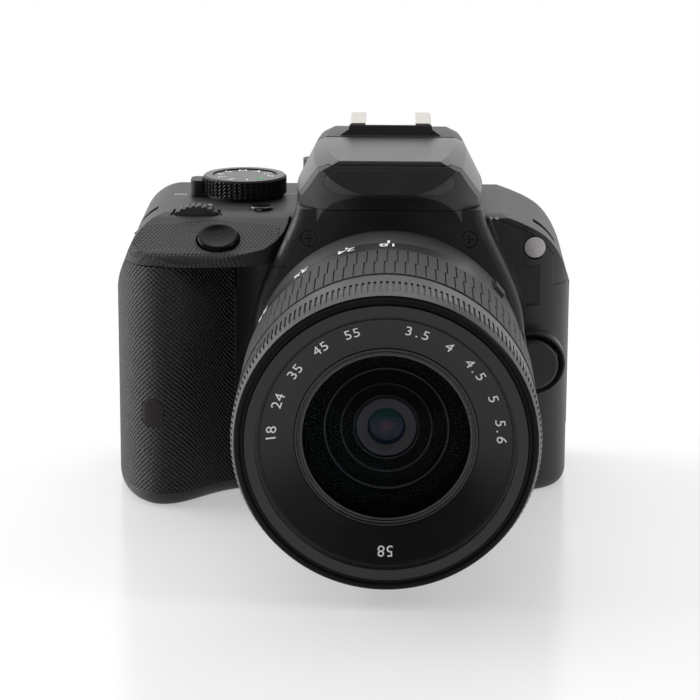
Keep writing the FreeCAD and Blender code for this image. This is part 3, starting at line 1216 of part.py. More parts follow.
def lens_pieces():
    """Nodes of the lens."""
    barrel = lens_barrel()
    for angle in SWITCH_ANGLES:
        barrel = barrel.cut(switch_slot(angle))
    barrel = barrel.cut(rod_y(MOUNT_RADIUS - 2.6, AXIS_Z, 1.3 + KEY_GAP, -1.6, 1.0))
    return {
        "lens_barrel": barrel,
        "focus_mode_switch": switch_solid(SWITCH_ANGLES[0], 0.0),
        "stabiliser_switch": switch_solid(SWITCH_ANGLES[1], 0.0),
        "zoom_ring": zoom_ring(),
        "zoom_rubber": zoom_rubber(),
        "front_barrel": joined(front_barrel(), inner_group()),
        "focus_ring": focus_ring(),
        "name_ring": name_ring(),
        "front_element": front_element(),
        "stabiliser_glass": inner_glass(),
        "aperture_unit": Part.makeCompound([focus_carrier()] + aperture_blades()),
        "focus_group": focus_group(),
        "rear_element": rear_element(),
    }


def body_pieces():
    """Nodes of the camera body."""
    outer, front, rear, top, head = split_covers()
    skin = grip_skin(outer).cut(window_prism(SEAT_GAP))
    thumb = thumb_zone(SEAT_GAP / 2)
    plate = logo_plate(hump_form())
    pieces = {
        "front_cover": front_cover(front, grip_skin(outer)),
        "grip_rubber": Part.makeCompound(skin.Solids + [thumb]),
        "rear_cover": rear_cover(rear),
        "top_cover": top_cover(top).cut(plate),
        "logo_plate": plate,
        "remote_window": remote_window(outer),
        "cover_screws": cover_screws(),
        "bottom_plate": bottom_plate(),
        "tripod_socket": tripod_socket(),
        "battery_door": battery_door(),
        "door_latch": latch_solid(0.0, 0.0),
        "battery": battery_solid(0.0),
        "mount_ring": mount_ring(),
        "lock_pin": lock_pin(),
        "lens_release": lens_release(),
        "timer_lamp": timer_lamp(),
        "mirror_box": mirror_box(),
        "main_mirror": main_mirror(),
        "shutter_unit": shutter_unit(),
        "shutter_curtain": shutter_curtain(),
        "image_sensor": image_sensor(),
        "main_board": main_board(),
        "pentamirror": pentamirror(),
        "mode_dial": mode_dial(),
        "power_lever": power_lever(),
        "main_dial": main_dial(),
        "shutter_button": shutter_button(),
        "iso_button": iso_button(),
        "flash_button": flash_button_solid(0.0, 0.0),
        "hot_shoe": hot_shoe(),
        "flash_head": flash_head(head),
        "strap_lugs": strap_lugs(),
        "eyepiece_lens": eyepiece_lens(),
        "eyecup": eyecup(),
        "diopter_knob": diopter_knob_solid(0.0),
        "lcd_window": lcd_window(),
        "lcd_module": lcd_module(),
        "cross_keys": cross_keys(),
        "set_button": rear_key(CROSS_X, CROSS_Z, SET_RADIUS),
        "terminal_cover": terminal_cover(),
    }
    for name, (x, z, radius) in ROUND_KEYS.items():
        pieces[name] = rear_key(x, z, radius)
    return pieces


def export(pieces):
    """Writes one STEP file per node."""
    for name, shape in pieces.items():
        shape.exportStep("parts/" + name + ".step")
        print(name, "solids", len(shape.Solids), "valid", shape.isValid(), "volume", round(shape.Volume, 1))


export(body_pieces())
export(lens_pieces())
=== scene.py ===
import math

import bmesh
import bpy
from bpy.props import FloatProperty, FloatVectorProperty, IntProperty, PointerProperty
from mathutils import Matrix, Vector


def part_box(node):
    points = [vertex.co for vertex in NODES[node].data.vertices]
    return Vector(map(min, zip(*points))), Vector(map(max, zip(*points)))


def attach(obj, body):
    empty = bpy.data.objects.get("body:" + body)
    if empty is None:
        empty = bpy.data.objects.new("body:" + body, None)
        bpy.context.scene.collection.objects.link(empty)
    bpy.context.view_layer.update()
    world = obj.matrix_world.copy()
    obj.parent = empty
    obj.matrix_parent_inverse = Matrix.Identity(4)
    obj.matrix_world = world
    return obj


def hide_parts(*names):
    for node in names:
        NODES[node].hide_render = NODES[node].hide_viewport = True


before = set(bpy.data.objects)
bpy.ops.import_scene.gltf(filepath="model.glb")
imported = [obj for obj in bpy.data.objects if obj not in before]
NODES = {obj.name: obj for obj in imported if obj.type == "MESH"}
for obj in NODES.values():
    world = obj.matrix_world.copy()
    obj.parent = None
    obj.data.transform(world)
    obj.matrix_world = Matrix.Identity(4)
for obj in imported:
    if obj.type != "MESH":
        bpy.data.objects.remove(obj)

bl_info = {
    "name": "Reflex Camera",
    "version": (1, 0, 0),
    "blender": (4, 5, 0),
    "location": "3D View > Sidebar > Camera",
    "description": "Finishes, rubber, printed marks and studio for a reflex camera with a zoom lens",
    "category": "Object",
}

MM = 0.001
LENS_LOW, LENS_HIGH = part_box("zoom_ring")
AXIS_X = (LENS_LOW.x + LENS_HIGH.x) / 2
AXIS_Z = (LENS_LOW.z + LENS_HIGH.z) / 2
AXIS = Vector((AXIS_X, 0.0, AXIS_Z))
DECK_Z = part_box("power_lever")[0].z - 0.1 * MM
UP = Vector((0, 0, 1))
BACK = Vector((0, 1, 0))
FRONT = Vector((0, -1, 0))

DIAL_RADIUS = 10.75 * MM
FILTER_PITCH = 0.75 * MM
PRINT_THICK = 0.03 * MM
# Columns of faces to each rib of the zoom rubber
RIB_COLUMNS = 8
# Radii and heights in millimetres of the turned rings inside the lens, from the rim inwards
BAFFLE = ((18.6, 61.9), (14.1, 61.45), (14.1, 61.85), (13.7, 61.85), (13.7, 61.4), (10.3, 60.95),
          (10.3, 61.2), (10.1, 61.2), (10.1, 60.9), (7.5, 60.45), (7.5, 60.7), (7.1, 60.7))
RETAINER = ((20.35, 0.75), (20.0, 0.75), (20.0, 0.35), (19.6, 0.35), (19.6, 0.55), (19.3, 0.55), (19.3, 0.2),
            (18.7, 0.1))
CELL = ((6.7, 0.9), (4.3, 0.4))
# Radius in millimetres of each lip of the baffle, and how pale it is painted: a painted highlight in place of
# the glint of light on its edge
BAFFLE_LIP_HIGHLIGHTS = ((7.3, 0.5), (10.2, 0.6), (13.9, 1.0), (18.2, 0.7))
# Numbers round the front glass, each with the turn of its middle
RING_TEXTS = (("18  24  35  45  55     3.5  4  4.5  5  5.6", 0.0), ("58", math.pi))
# Focal lengths and their turns in degrees
ZOOM_MARKS = (("18", 0.0), ("24", -17.0), ("35", -37.0), ("55", -60.0))
# Marks of the mode dial in order; the gap is the green square
DIAL_SIGNS = "MASP 12345"
# Words of the power switch and their turns in degrees
SWITCH_WORDS = (("ON", 180.0), ("OFF", 236.0))
# Places in millimetres of the shoe's contacts, across and from its front edge, with their radii
CONTACTS = ((0.0, 8.8, 1.25), (-3.2, 12.6, 0.75), (3.2, 12.6, 0.75), (-3.2, 5.2, 0.75), (3.2, 5.2, 0.75))
# Place of the view in millimetres, and its tilt, turn and roll in degrees
VIEW_PLACE = Vector((2.803, -683.18, 205.84))
VIEW_TILT, VIEW_TURN, VIEW_ROLL = 75.86, 1.07, 0.22


def middle(node):
    """Centre of a CAD node's box."""
    low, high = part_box(node)
    return (low + high) / 2


# Settings

class ReflexSizes(bpy.types.PropertyGroup):
    """Sizes of the modelled pieces"""

    ribs: IntProperty(
        name="Zoom Ribs", description="Grooves round each half of the zoom rubber",
        default=92, min=12, max=120)
    rib_depth: FloatProperty(
        name="Rib Depth", description="Depth of the grooves in the zoom rubber",
        default=0.5 * MM, unit="LENGTH", subtype="DISTANCE")
    cup_round: FloatProperty(
        name="Eyecup Corner", description="Corner radius of the rubber eyecup",
        default=5.5 * MM, unit="LENGTH", subtype="DISTANCE")
    ring_letter: FloatProperty(
        name="Ring Numbers", description="Height of the numbers round the front glass",
        default=2.6 * MM, unit="LENGTH", subtype="DISTANCE")
    scale_letter: FloatProperty(
        name="Scale Numbers", description="Height of the numbers of the zoom scale",
        default=3.4 * MM, unit="LENGTH", subtype="DISTANCE")
    dial_letter: FloatProperty(
        name="Dial Marks", description="Height of the marks on the mode dial",
        default=2.3 * MM, unit="LENGTH", subtype="DISTANCE")


class ReflexFinishes(bpy.types.PropertyGroup):
    """Colours of the finishes"""

    body: FloatVectorProperty(
        name="Body Plastic", description="Colour of the moulded covers", default=(0.0165, 0.0163, 0.0165),
        subtype="COLOR", min=0, max=1)
    lens: FloatVectorProperty(
        name="Lens Plastic", description="Colour of the lens barrel and rings",
        default=(0.0135, 0.0135, 0.0138), subtype="COLOR", min=0, max=1)
    grip: FloatVectorProperty(
        name="Grip Rubber", description="Colour of the grip's skin", default=(0.0125, 0.0125, 0.0127),
        subtype="COLOR", min=0, max=1)
    rubber: FloatVectorProperty(
        name="Ring Rubber", description="Colour of the zoom rubber and the eyecup",
        default=(0.015, 0.015, 0.0153), subtype="COLOR", min=0, max=1)
    metal: FloatVectorProperty(
        name="Shoe Metal", description="Colour of the accessory shoe and the mount",
        default=(0.66, 0.63, 0.58), subtype="COLOR", min=0, max=1)
    print_colour: FloatVectorProperty(
        name="Printed Marks", description="Colour of numbers and marks", default=(0.86, 0.86, 0.84),
        subtype="COLOR", min=0, max=1)


class ReflexStudio(bpy.types.PropertyGroup):
    """Light and floor of the studio"""

    top: FloatProperty(
        name="Top Light", description="Power of the large light overhead", default=5.6, min=0, unit="POWER")
    left: FloatProperty(
        name="Left Light", description="Power of the light behind the grip side", default=11.0, min=0,
        unit="POWER")
    right: FloatProperty(
        name="Right Light", description="Power of the weak light on the other side", default=3.2, min=0,
        unit="POWER")
    sky: FloatProperty(
        name="Room Level", description="Plain level of the light from all around", default=0.66, min=0)
    floor: FloatVectorProperty(
        name="Floor", description="Colour of the pale floor", default=(0.84, 0.84, 0.828), subtype="COLOR",
        min=0, max=1)
    lens_length: FloatProperty(
        name="View Length", description="Focal length of the view in millimetres", default=140.8, min=20)


# Materials

class Wire:
    """One output of a material's nodes; arithmetic on it adds Math nodes."""

    def __init__(self, surface, socket):
        self.surface = surface
        self.socket = socket

    def __add__(self, other):
        return self.surface.maths("ADD", self, other)

    def __sub__(self, other):
        return self.surface.maths("SUBTRACT", self, other)

    def __rsub__(self, other):
        return self.surface.maths("SUBTRACT", other, self)

    def __mul__(self, other):
        return self.surface.maths("MULTIPLY", self, other)

    __radd__ = __add__
    __rmul__ = __mul__


class Surface:
    """Nodes of one material or world."""

    def __init__(self, tree):
        self.tree = tree
        self.tree.nodes.clear()

    def add(self, kind, settings=None, inputs=None, output=0):
        """Adds one node: its settings are set first, then the values or links of its sockets."""
        node = self.tree.nodes.new("ShaderNode" + kind)
        for name, value in (settings or {}).items():
            setattr(node, name, value)
        for key, value in (inputs or {}).items():
            if isinstance(value, Wire):
                self.tree.links.new(value.socket, node.inputs[key])
            else:
                node.inputs[key].default_value = value
        return Wire(self, node.outputs[output])

    def maths(self, operation, *values):
        """Number from a Math node."""
        return self.add("Math", {"operation": operation}, dict(enumerate(values)))

    def place(self):
        """Object coordinates."""
        return self.add("TexCoord", output="Object")

    def split(self, vector):
        """The three numbers of a vector."""
        return [self.add("SeparateXYZ", None, {0: vector}, output=i) for i in range(3)]

    def axes(self):
        """Object coordinates as three numbers."""
        return self.split(self.place())

    def away(self, centre):
        """Distance from a line along Y through a centre."""
        x, _, z = self.axes()
        return self.maths("SQRT", (x - centre.x) * (x - centre.x) + (z - centre.z) * (z - centre.z))

    def wrapped(self, centre_x, centre_y, radius):
        """Length round an upright cylinder of a radius."""
        x, y, _ = self.axes()
        return self.maths("ARCTAN2", y - centre_y, x - centre_x) * radius

    def crossed(self, along, across, pitch):
        """Two sets of ridges that cross each other."""
        return self.maths("PINGPONG", along + across, pitch), self.maths("PINGPONG", along - across, pitch)

    def facing(self, axis):
        """How far the surface faces along one axis, between -1 and 1."""
        return self.split(self.add("NewGeometry", output="Normal"))[axis]

    def mirrored(self):
        """1 on rays sent on by gloss or glass."""
        return self.maths("MAXIMUM", self.add("LightPath", output="Is Glossy Ray"),
                          self.add("LightPath", output="Is Transmission Ray"))

    def stretched(self, scale):
        """Object coordinates scaled on each axis."""
        return self.add("Mapping", None, {"Vector": self.place(), "Scale": scale})

    def noise(self, size, detail=2.0, vector=None):
        """Noise between 0 and 1 with features of a size in metres."""
        return self.add("TexNoise", None, {"Vector": vector or self.place(), "Scale": 1.0 / size,
                                           "Detail": detail})

    def cells(self, size):
        """Distance inside rounded cells of a size in metres."""
        return self.add("TexVoronoi", None, {"Vector": self.place(), "Scale": 1.0 / size})

    def step(self, value, low, high):
        """Smooth step from 0 at low to 1 at high."""
        return self.add("MapRange", {"interpolation_type": "SMOOTHSTEP"},
                        {"Value": value, "From Min": low, "From Max": high})

    def below(self, value, low, high):
        """Smooth step from 1 at low to 0 at high."""
        return 1.0 - self.step(value, low, high)

    def tint(self, mask, first, second):
        """Colour between two colours."""
        colours = {6: first, 7: second}
        inputs = {k: c if isinstance(c, Wire) else (*c, 1.0) for k, c in colours.items()}
        return self.add("Mix", {"data_type": "RGBA"}, {0: mask, **inputs}, output=2)

    def softened(self, radius):
        """Normal that rounds the edges of a moulding by a small radius."""
        return self.add("Bevel", {"samples": 4}, {"Radius": radius})

    def wear(self, radius):
        """Mask that rises along outer edges, broken up by noise."""
        rounded = self.softened(radius)
        flat = self.add("NewGeometry", output="Normal")
        along = self.add("VectorMath", {"operation": "DOT_PRODUCT"}, {0: rounded, 1: flat}, output="Value")
        return self.step((1.0 - along) * 1.4 + self.noise(1.5 * MM) * 0.25, 0.22, 0.6)

    def bump(self, height, depth, normal=None):
        """Normal raised by a height between 0 and 1 times a depth in metres."""
        inputs = {"Height": height, "Distance": depth, "Strength": 1.0}
        if normal:
            inputs["Normal"] = normal
        return self.add("Bump", None, inputs)

    def principled(self, **inputs):
        """Principled shader; double underscores stand for spaces in socket names."""
        named = {k.replace("__", " "): v for k, v in inputs.items()}
        return self.add("BsdfPrincipled", None, {k: (*v, 1.0) if isinstance(v, tuple) else v
                                                 for k, v in named.items()})

    def output(self, shader, kind="OutputMaterial"):
        """Joins a shader to the output."""
        end = self.tree.nodes.new("ShaderNode" + kind)
        self.tree.links.new(shader.socket, end.inputs["Surface"])


def material(name, build):
    """Material of a name, built the first time it is asked for."""
    found = bpy.data.materials.get(name)
    if found is None:
        found = bpy.data.materials.new(name)
        found.use_nodes = True
        surface = Surface(found.node_tree)
        surface.output(build(surface))
    return found


def colour(name):
    """One colour of the settings."""
    return tuple(getattr(bpy.context.scene.reflex_finishes, name))


def lighter(base, factor):
    """Colour times a factor."""
    return tuple(c * factor for c in base)


def moulded(s, base, grain, depth, rough, edge, height=None, gloss=None, **constant):
    """Shader of moulded plastic: fine grain, uneven sheen and slightly polished edges."""
    cloud = s.noise(9 * MM, 3.0)
    worn = s.wear(edge)
    tone = s.tint(cloud, lighter(base, 0.85), lighter(base, 1.2))
    tone = s.tint(worn * 0.5, tone, lighter(base, 2.2))
    pebble = s.cells(grain) + s.noise(grain * 1.7, 1.0) * 0.6
    if height:
        pebble = pebble * depth + height
        depth = 1.0
    roughness = rough + (cloud - 0.5) * 0.1 - worn * 0.08
    if gloss:
        roughness = roughness - gloss * (rough - 0.16)
    return s.principled(Base__Color=tone, Roughness=roughness,
                        Normal=s.bump(pebble, depth, s.softened(edge)), **constant)


def deep_black(s, painted_highlight=0.0):
    """Shader of the black that swallows light inside the lens, greyer where it is worn, and paler where a
    painted highlight is given.
    """
    fine = s.noise(0.4 * MM, 2.0)
    # The mask carries the edge wear and the painted highlight of the baffle's lips, whichever is stronger
    worn = s.maths("MAXIMUM", s.wear(0.12 * MM) * 0.2, painted_highlight)
    return s.principled(Base__Color=s.tint(worn, (0.0015, 0.0015, 0.0018), (0.045, 0.045, 0.05)),
                        Roughness=0.5 + fine * 0.2, Specular__IOR__Level=0.04)


def body_plastic(s):
    """Covers of the body."""
    return moulded(s, colour("body"), 0.34 * MM, 0.022 * MM, 0.47, 0.4 * MM)


def lens_plastic(s):
    """Barrel and rings of the lens."""
    return moulded(s, colour("lens"), 0.22 * MM, 0.006 * MM, 0.4, 0.25 * MM)


def ring_plastic(s):
    """Smooth dark ring under the printed numbers."""
    return moulded(s, lighter(colour("lens"), 0.55), 0.3 * MM, 0.003 * MM, 0.36, 0.2 * MM,
                   Specular__IOR__Level=0.4)


def top_plastic(s):
    """Top cover: grained plastic with a fine crossed weave on the platform round the shutter button."""
    x, y, z = s.axes()
    edge = y + s.maths("ABSOLUTE", x + 43 * MM) * 0.12
    platform = s.below(edge, -15.4 * MM, -15.0 * MM) * s.below(x, -27.4 * MM, -27.0 * MM)
    first, second = s.crossed(x, y * 0.9 - z * 0.4, 0.5 * MM)
    weave = s.maths("MAXIMUM", first, second) * platform * 0.3
    return moulded(s, colour("body"), 0.34 * MM, 0.022 * MM, 0.47, 0.4 * MM, height=weave)


def lens_front(s):
    """Sliding barrel: satin plastic with the filter thread inside its mouth."""
    y = s.axes()[1]
    radius = s.away(AXIS)
    mouth = s.step(radius, 28.3 * MM, 28.5 * MM) * s.below(radius, 29.3 * MM, 29.5 * MM)
    thread = s.maths("PINGPONG", y, FILTER_PITCH / 2) * mouth
    inside = s.below(radius, 20.4 * MM, 20.8 * MM)
    plastic = moulded(s, colour("lens"), 0.22 * MM, 0.006 * MM, 0.4, 0.15 * MM, height=thread * 0.6)
    return s.add("MixShader", None, {0: inside, 1: plastic, 2: deep_black(s)})


def key_plastic(s):
    """Smooth keys and dials."""
    return moulded(s, lighter(colour("body"), 1.1), 0.3 * MM, 0.003 * MM, 0.3, 0.25 * MM)


def dial_plastic(s):
    """Mode dial: diamond knurl round its side, matt grain on its top."""
    centre = middle("mode_dial")
    z = s.axes()[2]
    diamonds = s.maths("MINIMUM", *s.crossed(s.wrapped(centre.x, centre.y, DIAL_RADIUS), z * 1.2, 0.55 * MM))
    up = s.facing(2)
    side = s.below(s.maths("ABSOLUTE", up), 0.2, 0.5)
    top = s.step(up, 0.8, 0.95)
    return moulded(s, lighter(colour("body"), 0.9), 0.25 * MM, 0.004 * MM, 0.38, 0.2 * MM,
                   height=diamonds * side * 0.9, gloss=top * 0.6, Specular__IOR__Level=0.25)


def lid_plastic(s):
    """Satin lid of the flash, smoother than the covers."""
    return moulded(s, lighter(colour("body"), 1.1), 0.3 * MM, 0.006 * MM, 0.38, 0.25 * MM,
                   Coat__Weight=0.25, Coat__Roughness=0.3)


def button_gloss(s):
    """Deep glossy black of the shutter button."""
    smudge = s.noise(8 * MM, 3.0)
    return s.principled(Base__Color=s.tint(smudge, (0.004, 0.004, 0.0045), (0.008, 0.008, 0.009)),
                        Roughness=0.12 + smudge * 0.08, Specular__IOR__Level=0.08,
                        Normal=s.bump(s.noise(4 * MM), 0.004 * MM, s.softened(0.3 * MM)))


def focus_plastic(s):
    """Focus ring: satin on its knurl, dark gloss on its front chamfer."""
    front = s.step(s.facing(1) * -1.0, 0.25, 0.5)
    satin = moulded(s, colour("lens"), 0.22 * MM, 0.006 * MM, 0.4, 0.2 * MM)
    dark = s.principled(Base__Color=(0.005, 0.005, 0.0055), Roughness=0.25, Specular__IOR__Level=0.12,
                        Normal=s.bump(s.noise(0.5 * MM), 0.003 * MM))
    return s.add("MixShader", None, {0: front, 1: satin, 2: dark})


def shoulder_gloss(s):
    """Polished black plastic with faint smudges."""
    smudge = s.noise(14 * MM, 4.0)
    return s.principled(Base__Color=s.tint(smudge, (0.006, 0.006, 0.0065), (0.012, 0.012, 0.013)),
                        Roughness=0.09 + smudge * 0.1, Coat__Weight=0.35 + smudge * 0.2,
                        Coat__Roughness=0.05,
                        Normal=s.bump(s.noise(4 * MM), 0.01 * MM, s.softened(0.35 * MM)))


def window_plastic(s):
    """Dark window over a sensor."""
    smudge = s.noise(3 * MM, 3.0)
    return s.principled(Base__Color=s.tint(smudge, (0.008, 0.004, 0.005), (0.016, 0.009, 0.011)),
                        Roughness=0.12 + smudge * 0.08, Specular__IOR__Level=0.25,
                        Normal=s.bump(smudge, 0.004 * MM, s.softened(0.2 * MM)))


def grip_skin(s):
    """Grip's skin: a fine weave of crossed diagonal ridges with soft cells over it."""
    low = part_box("grip_rubber")[0]
    z = s.axes()[2]
    turn = s.wrapped(low.x + 17 * MM, low.y + 17 * MM, 15.5 * MM)
    first, second = s.crossed(turn, z, 0.62 * MM)
    weave = s.maths("MAXIMUM", first, second) * 0.45 + s.maths("MINIMUM", first, second) * 0.3
    pebble = s.cells(0.55 * MM) * (0.09 * MM)
    dust = s.noise(5 * MM, 4.0)
    worn = s.wear(0.5 * MM)
    base = colour("grip")
    groove = s.below(weave, 0.05 * MM, 0.2 * MM)
    tone = s.tint(dust, lighter(base, 0.8), lighter(base, 1.3))
    tone = s.tint(s.maths("MAXIMUM", groove * 0.3, worn * 0.4), tone, lighter(base, 1.9))
    return s.principled(Base__Color=tone, Roughness=0.5 + dust * 0.12 - worn * 0.06,
                        Normal=s.bump(weave + pebble, 1.0, s.softened(0.5 * MM)))


def ring_rubber(s):
    """Rubber with a dusty bloom."""
    base = colour("rubber")
    dust = s.noise(2.2 * MM, 5.0)
    fine = s.noise(0.25 * MM, 2.0)
    worn = s.wear(0.3 * MM)
    tone = s.tint(dust, lighter(base, 0.75), lighter(base, 1.5))
    tone = s.tint(worn * 0.6, tone, lighter(base, 2.6))
    return s.principled(Base__Color=tone, Roughness=0.5 + fine * 0.15, Specular__IOR__Level=0.38,
                        Normal=s.bump(fine, 0.02 * MM, s.softened(0.15 * MM)))


def black_steel(s):
    """Blackened screws."""
    fine = s.noise(0.3 * MM, 3.0)
    worn = s.wear(0.15 * MM)
    return s.principled(Base__Color=s.tint(worn, (0.03, 0.03, 0.031), (0.24, 0.235, 0.225)), Metallic=0.85,
                        Roughness=0.32 + fine * 0.15, Normal=s.bump(fine, 0.01 * MM, s.softened(0.1 * MM)))


def satin_metal(s):
    """Shoe, mount and lugs: satin metal drawn along the lens axis."""
    base = colour("metal")
    lines = s.noise(0.2 * MM, 2.0, s.stretched((1.0, 0.05, 1.0)))
    cloud = s.noise(6 * MM, 3.0)
    worn = s.wear(0.2 * MM)
    tone = s.tint(cloud, lighter(base, 0.85), base)
    tone = s.tint(worn * 0.5, tone, (0.8, 0.78, 0.74))
    return s.principled(Base__Color=tone, Metallic=1.0, Roughness=0.3 + lines * 0.14 - worn * 0.05,
                        Normal=s.bump(lines, 0.004 * MM, s.softened(0.2 * MM)))


def battery_case(s):
    """Battery: matt case with a plain pale label and its contacts."""
    low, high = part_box("battery")
    _, y, z = s.axes()
    fine = s.noise(0.3 * MM, 2.0)
    band = s.step(z, low.z + 12 * MM, low.z + 12.2 * MM) * s.below(z, high.z - 12.2 * MM, high.z - 12 * MM)
    stripe = s.step(z, low.z + 30 * MM, low.z + 30.1 * MM) * s.below(z, low.z + 32 * MM, low.z + 32.1 * MM)
    contact = s.step(s.maths("PINGPONG", y - low.y, 2.4 * MM), 1.3 * MM, 1.4 * MM)
    contact = contact * s.step(z, high.z - 3 * MM, high.z - 2.9 * MM)
    tone = s.tint(fine, (0.03, 0.03, 0.033), (0.045, 0.045, 0.05))
    tone = s.tint(band * 0.6, tone, (0.11, 0.115, 0.12))
    tone = s.tint(stripe, tone, (0.28, 0.3, 0.32))
    tone = s.tint(contact, tone, (0.7, 0.5, 0.2))
    return s.principled(Base__Color=tone, Roughness=0.45 + fine * 0.1 - contact * 0.2, Metallic=contact * 0.9,
                        Normal=s.bump(fine, 0.01 * MM, s.softened(0.3 * MM)))


def lamp_lens(s):
    """Frosted lens of the lamp with fine rings moulded in it."""
    radius = s.away(middle("timer_lamp"))
    rings = s.maths("PINGPONG", radius, 0.3 * MM)
    rim = s.step(radius, 1.9 * MM, 2.6 * MM)
    return s.principled(Base__Color=s.tint(rim, (0.42, 0.4, 0.38), (0.16, 0.145, 0.14)), Roughness=0.22,
                        Coat__Weight=0.5, Normal=s.bump(rings + s.noise(0.5 * MM) * (0.05 * MM), 0.3,
                                                        s.softened(0.3 * MM)))


def silvered(s):
    """Reflex mirror and the silvered prism."""
    haze = s.noise(7 * MM, 3.0)
    return s.principled(Base__Color=s.tint(haze, (0.82, 0.83, 0.84), (0.9, 0.91, 0.92)), Metallic=1.0,
                        Roughness=0.03 + haze * 0.05, Normal=s.softened(0.2 * MM))


def sensor_face(s):
    """Sensor: fine grid under a coated cover glass, bare plate round it."""
    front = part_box("image_sensor")[0].y
    x, y, z = s.axes()
    grid = s.maths("PINGPONG", x, 0.2 * MM) + s.maths("PINGPONG", z, 0.2 * MM)
    plate = s.step(y, front + 2.0 * MM, front + 2.4 * MM)
    shift = s.noise(8 * MM)
    tone = s.tint(shift, (0.03, 0.09, 0.08), (0.1, 0.05, 0.12))
    tone = s.tint(plate, tone, (0.35, 0.35, 0.34))
    return s.principled(Base__Color=tone, Roughness=0.12 + plate * 0.25, Metallic=plate * 0.8,
                        Coat__Weight=0.4, Normal=s.bump(grid, 0.05))


def circuit_board(s):
    """Board: green lacquer, thin tracks, gold pads and dark chips."""
    x, y, z = s.axes()
    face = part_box("main_board")[1].y - 1.25 * MM
    chip = s.below(y, face - 0.15 * MM, face - 0.05 * MM)
    rows = s.add("TexBrick", {"offset": 0.37},
                 {"Vector": s.add("CombineXYZ", None, {0: x, 1: z, 2: 0.0}), "Scale": 1.0 / (4 * MM),
                  "Mortar Size": 0.06, "Brick Width": 0.9, "Row Height": 0.4}, output="Fac")
    pads = s.below(s.cells(1.9 * MM), 0.12, 0.2)
    tone = s.tint(rows, (0.008, 0.06, 0.022), (0.02, 0.13, 0.05))
    tone = s.tint(pads, tone, (0.75, 0.55, 0.2))
    tone = s.tint(chip, tone, (0.014, 0.014, 0.015))
    return s.principled(Base__Color=tone, Roughness=0.3 + chip * 0.15, Metallic=pads * (1.0 - chip),
                        Normal=s.bump(rows + pads, 0.02 * MM, s.softened(0.1 * MM)))


def coated_glass(s):
    """Coated lens glass: almost clear, with a faint green and violet sheen at its edge."""
    facing = s.add("LayerWeight", None, {"Blend": 0.35}, output="Facing")
    x, _, z = s.axes()
    sweep = s.step(x + (z - AXIS_Z) * 0.6, -12 * MM, 16 * MM)
    sheen = s.tint(sweep, (0.35, 0.75, 0.7), (0.85, 0.5, 0.62))
    coat = s.principled(Base__Color=sheen, Metallic=1.0, Roughness=0.03 + s.noise(5 * MM) * 0.02)
    clear = s.add("BsdfTransparent", None, {"Color": (0.95, 0.96, 0.98, 1.0)})
    amount = 0.002 + facing * facing * facing * 0.12
    return s.add("MixShader", None, {0: amount, 1: clear, 2: coat})


def inner_glass(s):
    """Small glass deep inside: dark blue, with a painted green reflection on its upper part and a painted
    violet reflection in its middle.
    """
    z = s.axes()[2]
    # Painted reflections in the base colour: a green one on the upper part, above the axis, and a violet one
    # in the middle
    high = s.step(z - AXIS_Z, 0.5 * MM, 4.0 * MM)
    painted_violet_reflection = s.below(s.away(AXIS), 0.6 * MM, 2.2 * MM)
    tone = s.tint(high, (0.012, 0.02, 0.035), (0.012, 0.05, 0.04))
    tone = s.tint(painted_violet_reflection * 0.8, tone, (0.05, 0.02, 0.035))
    return s.principled(Base__Color=tone, Roughness=0.03 + painted_violet_reflection * 0.02, Specular__IOR__Level=0.15,
                        Normal=s.softened(0.2 * MM))


def inner_black(s):
    """Black baffle inside the lens, with a painted highlight on each lip: a paler grey in place of the glint
    of light on its edge.
    """
    radius = s.away(AXIS)
    painted_lip_highlights = 0.0
    for lip, share in BAFFLE_LIP_HIGHLIGHTS:
        # Paler grey painted on each lip, standing in for the glint of light on its edge
        painted_lip_highlights = s.below(s.maths("ABSOLUTE", radius - lip * MM), 0.12 * MM, 0.26 * MM) * share + painted_lip_highlights
    return deep_black(s, painted_lip_highlights)


def inner_grey(s):
    """Dark grey cell round the small glass."""
    fine = s.noise(0.3 * MM, 2.0)
    return s.principled(Base__Color=s.tint(fine, (0.045, 0.043, 0.045), (0.06, 0.057, 0.06)),
                        Roughness=0.45 + fine * 0.1, Specular__IOR__Level=0.1,
                        Normal=s.bump(fine, 0.008 * MM, s.softened(0.12 * MM)))


def eyepiece_glass(s):
    """Viewfinder glass, dark behind a clear gloss."""
    smudge = s.noise(4 * MM, 3.0)
    return s.principled(Base__Color=s.tint(smudge, (0.01, 0.012, 0.018), (0.02, 0.024, 0.034)),
                        Roughness=0.04 + smudge * 0.05, Coat__Weight=0.6,
                        Normal=s.softened(0.3 * MM))


def screen_glass(s):
    """Display glass: deep black with a paler active area inside its border."""
    centre = middle("lcd_window")
    x, _, z = s.axes()
    wide = s.maths("ABSOLUTE", x - centre.x)
    tall = s.maths("ABSOLUTE", z - centre.z)
    border = s.maths("MAXIMUM", s.step(wide, 31.4 * MM, 31.5 * MM), s.step(tall, 21.4 * MM, 21.5 * MM))
    smudge = s.noise(12 * MM, 4.0)
    return s.principled(Base__Color=s.tint(border, (0.011, 0.012, 0.015), (0.0035, 0.0035, 0.004)),
                        Roughness=0.05 + smudge * 0.08, Coat__Weight=0.5, Normal=s.softened(0.3 * MM))


def ink(s, first, second):
    """Shader of printed ink."""
    fleck = s.noise(0.2 * MM, 2.0)
    return s.principled(Base__Color=s.tint(fleck, first, second), Roughness=0.5,
                        Normal=s.bump(fleck, 0.004 * MM))


def plain_print(s):
    """Pale ink of numbers and marks."""
    return ink(s, lighter(colour("print_colour"), 0.85), colour("print_colour"))


def green_print(s):
    """Green ink."""
    return ink(s, (0.02, 0.26, 0.09), (0.03, 0.34, 0.12))


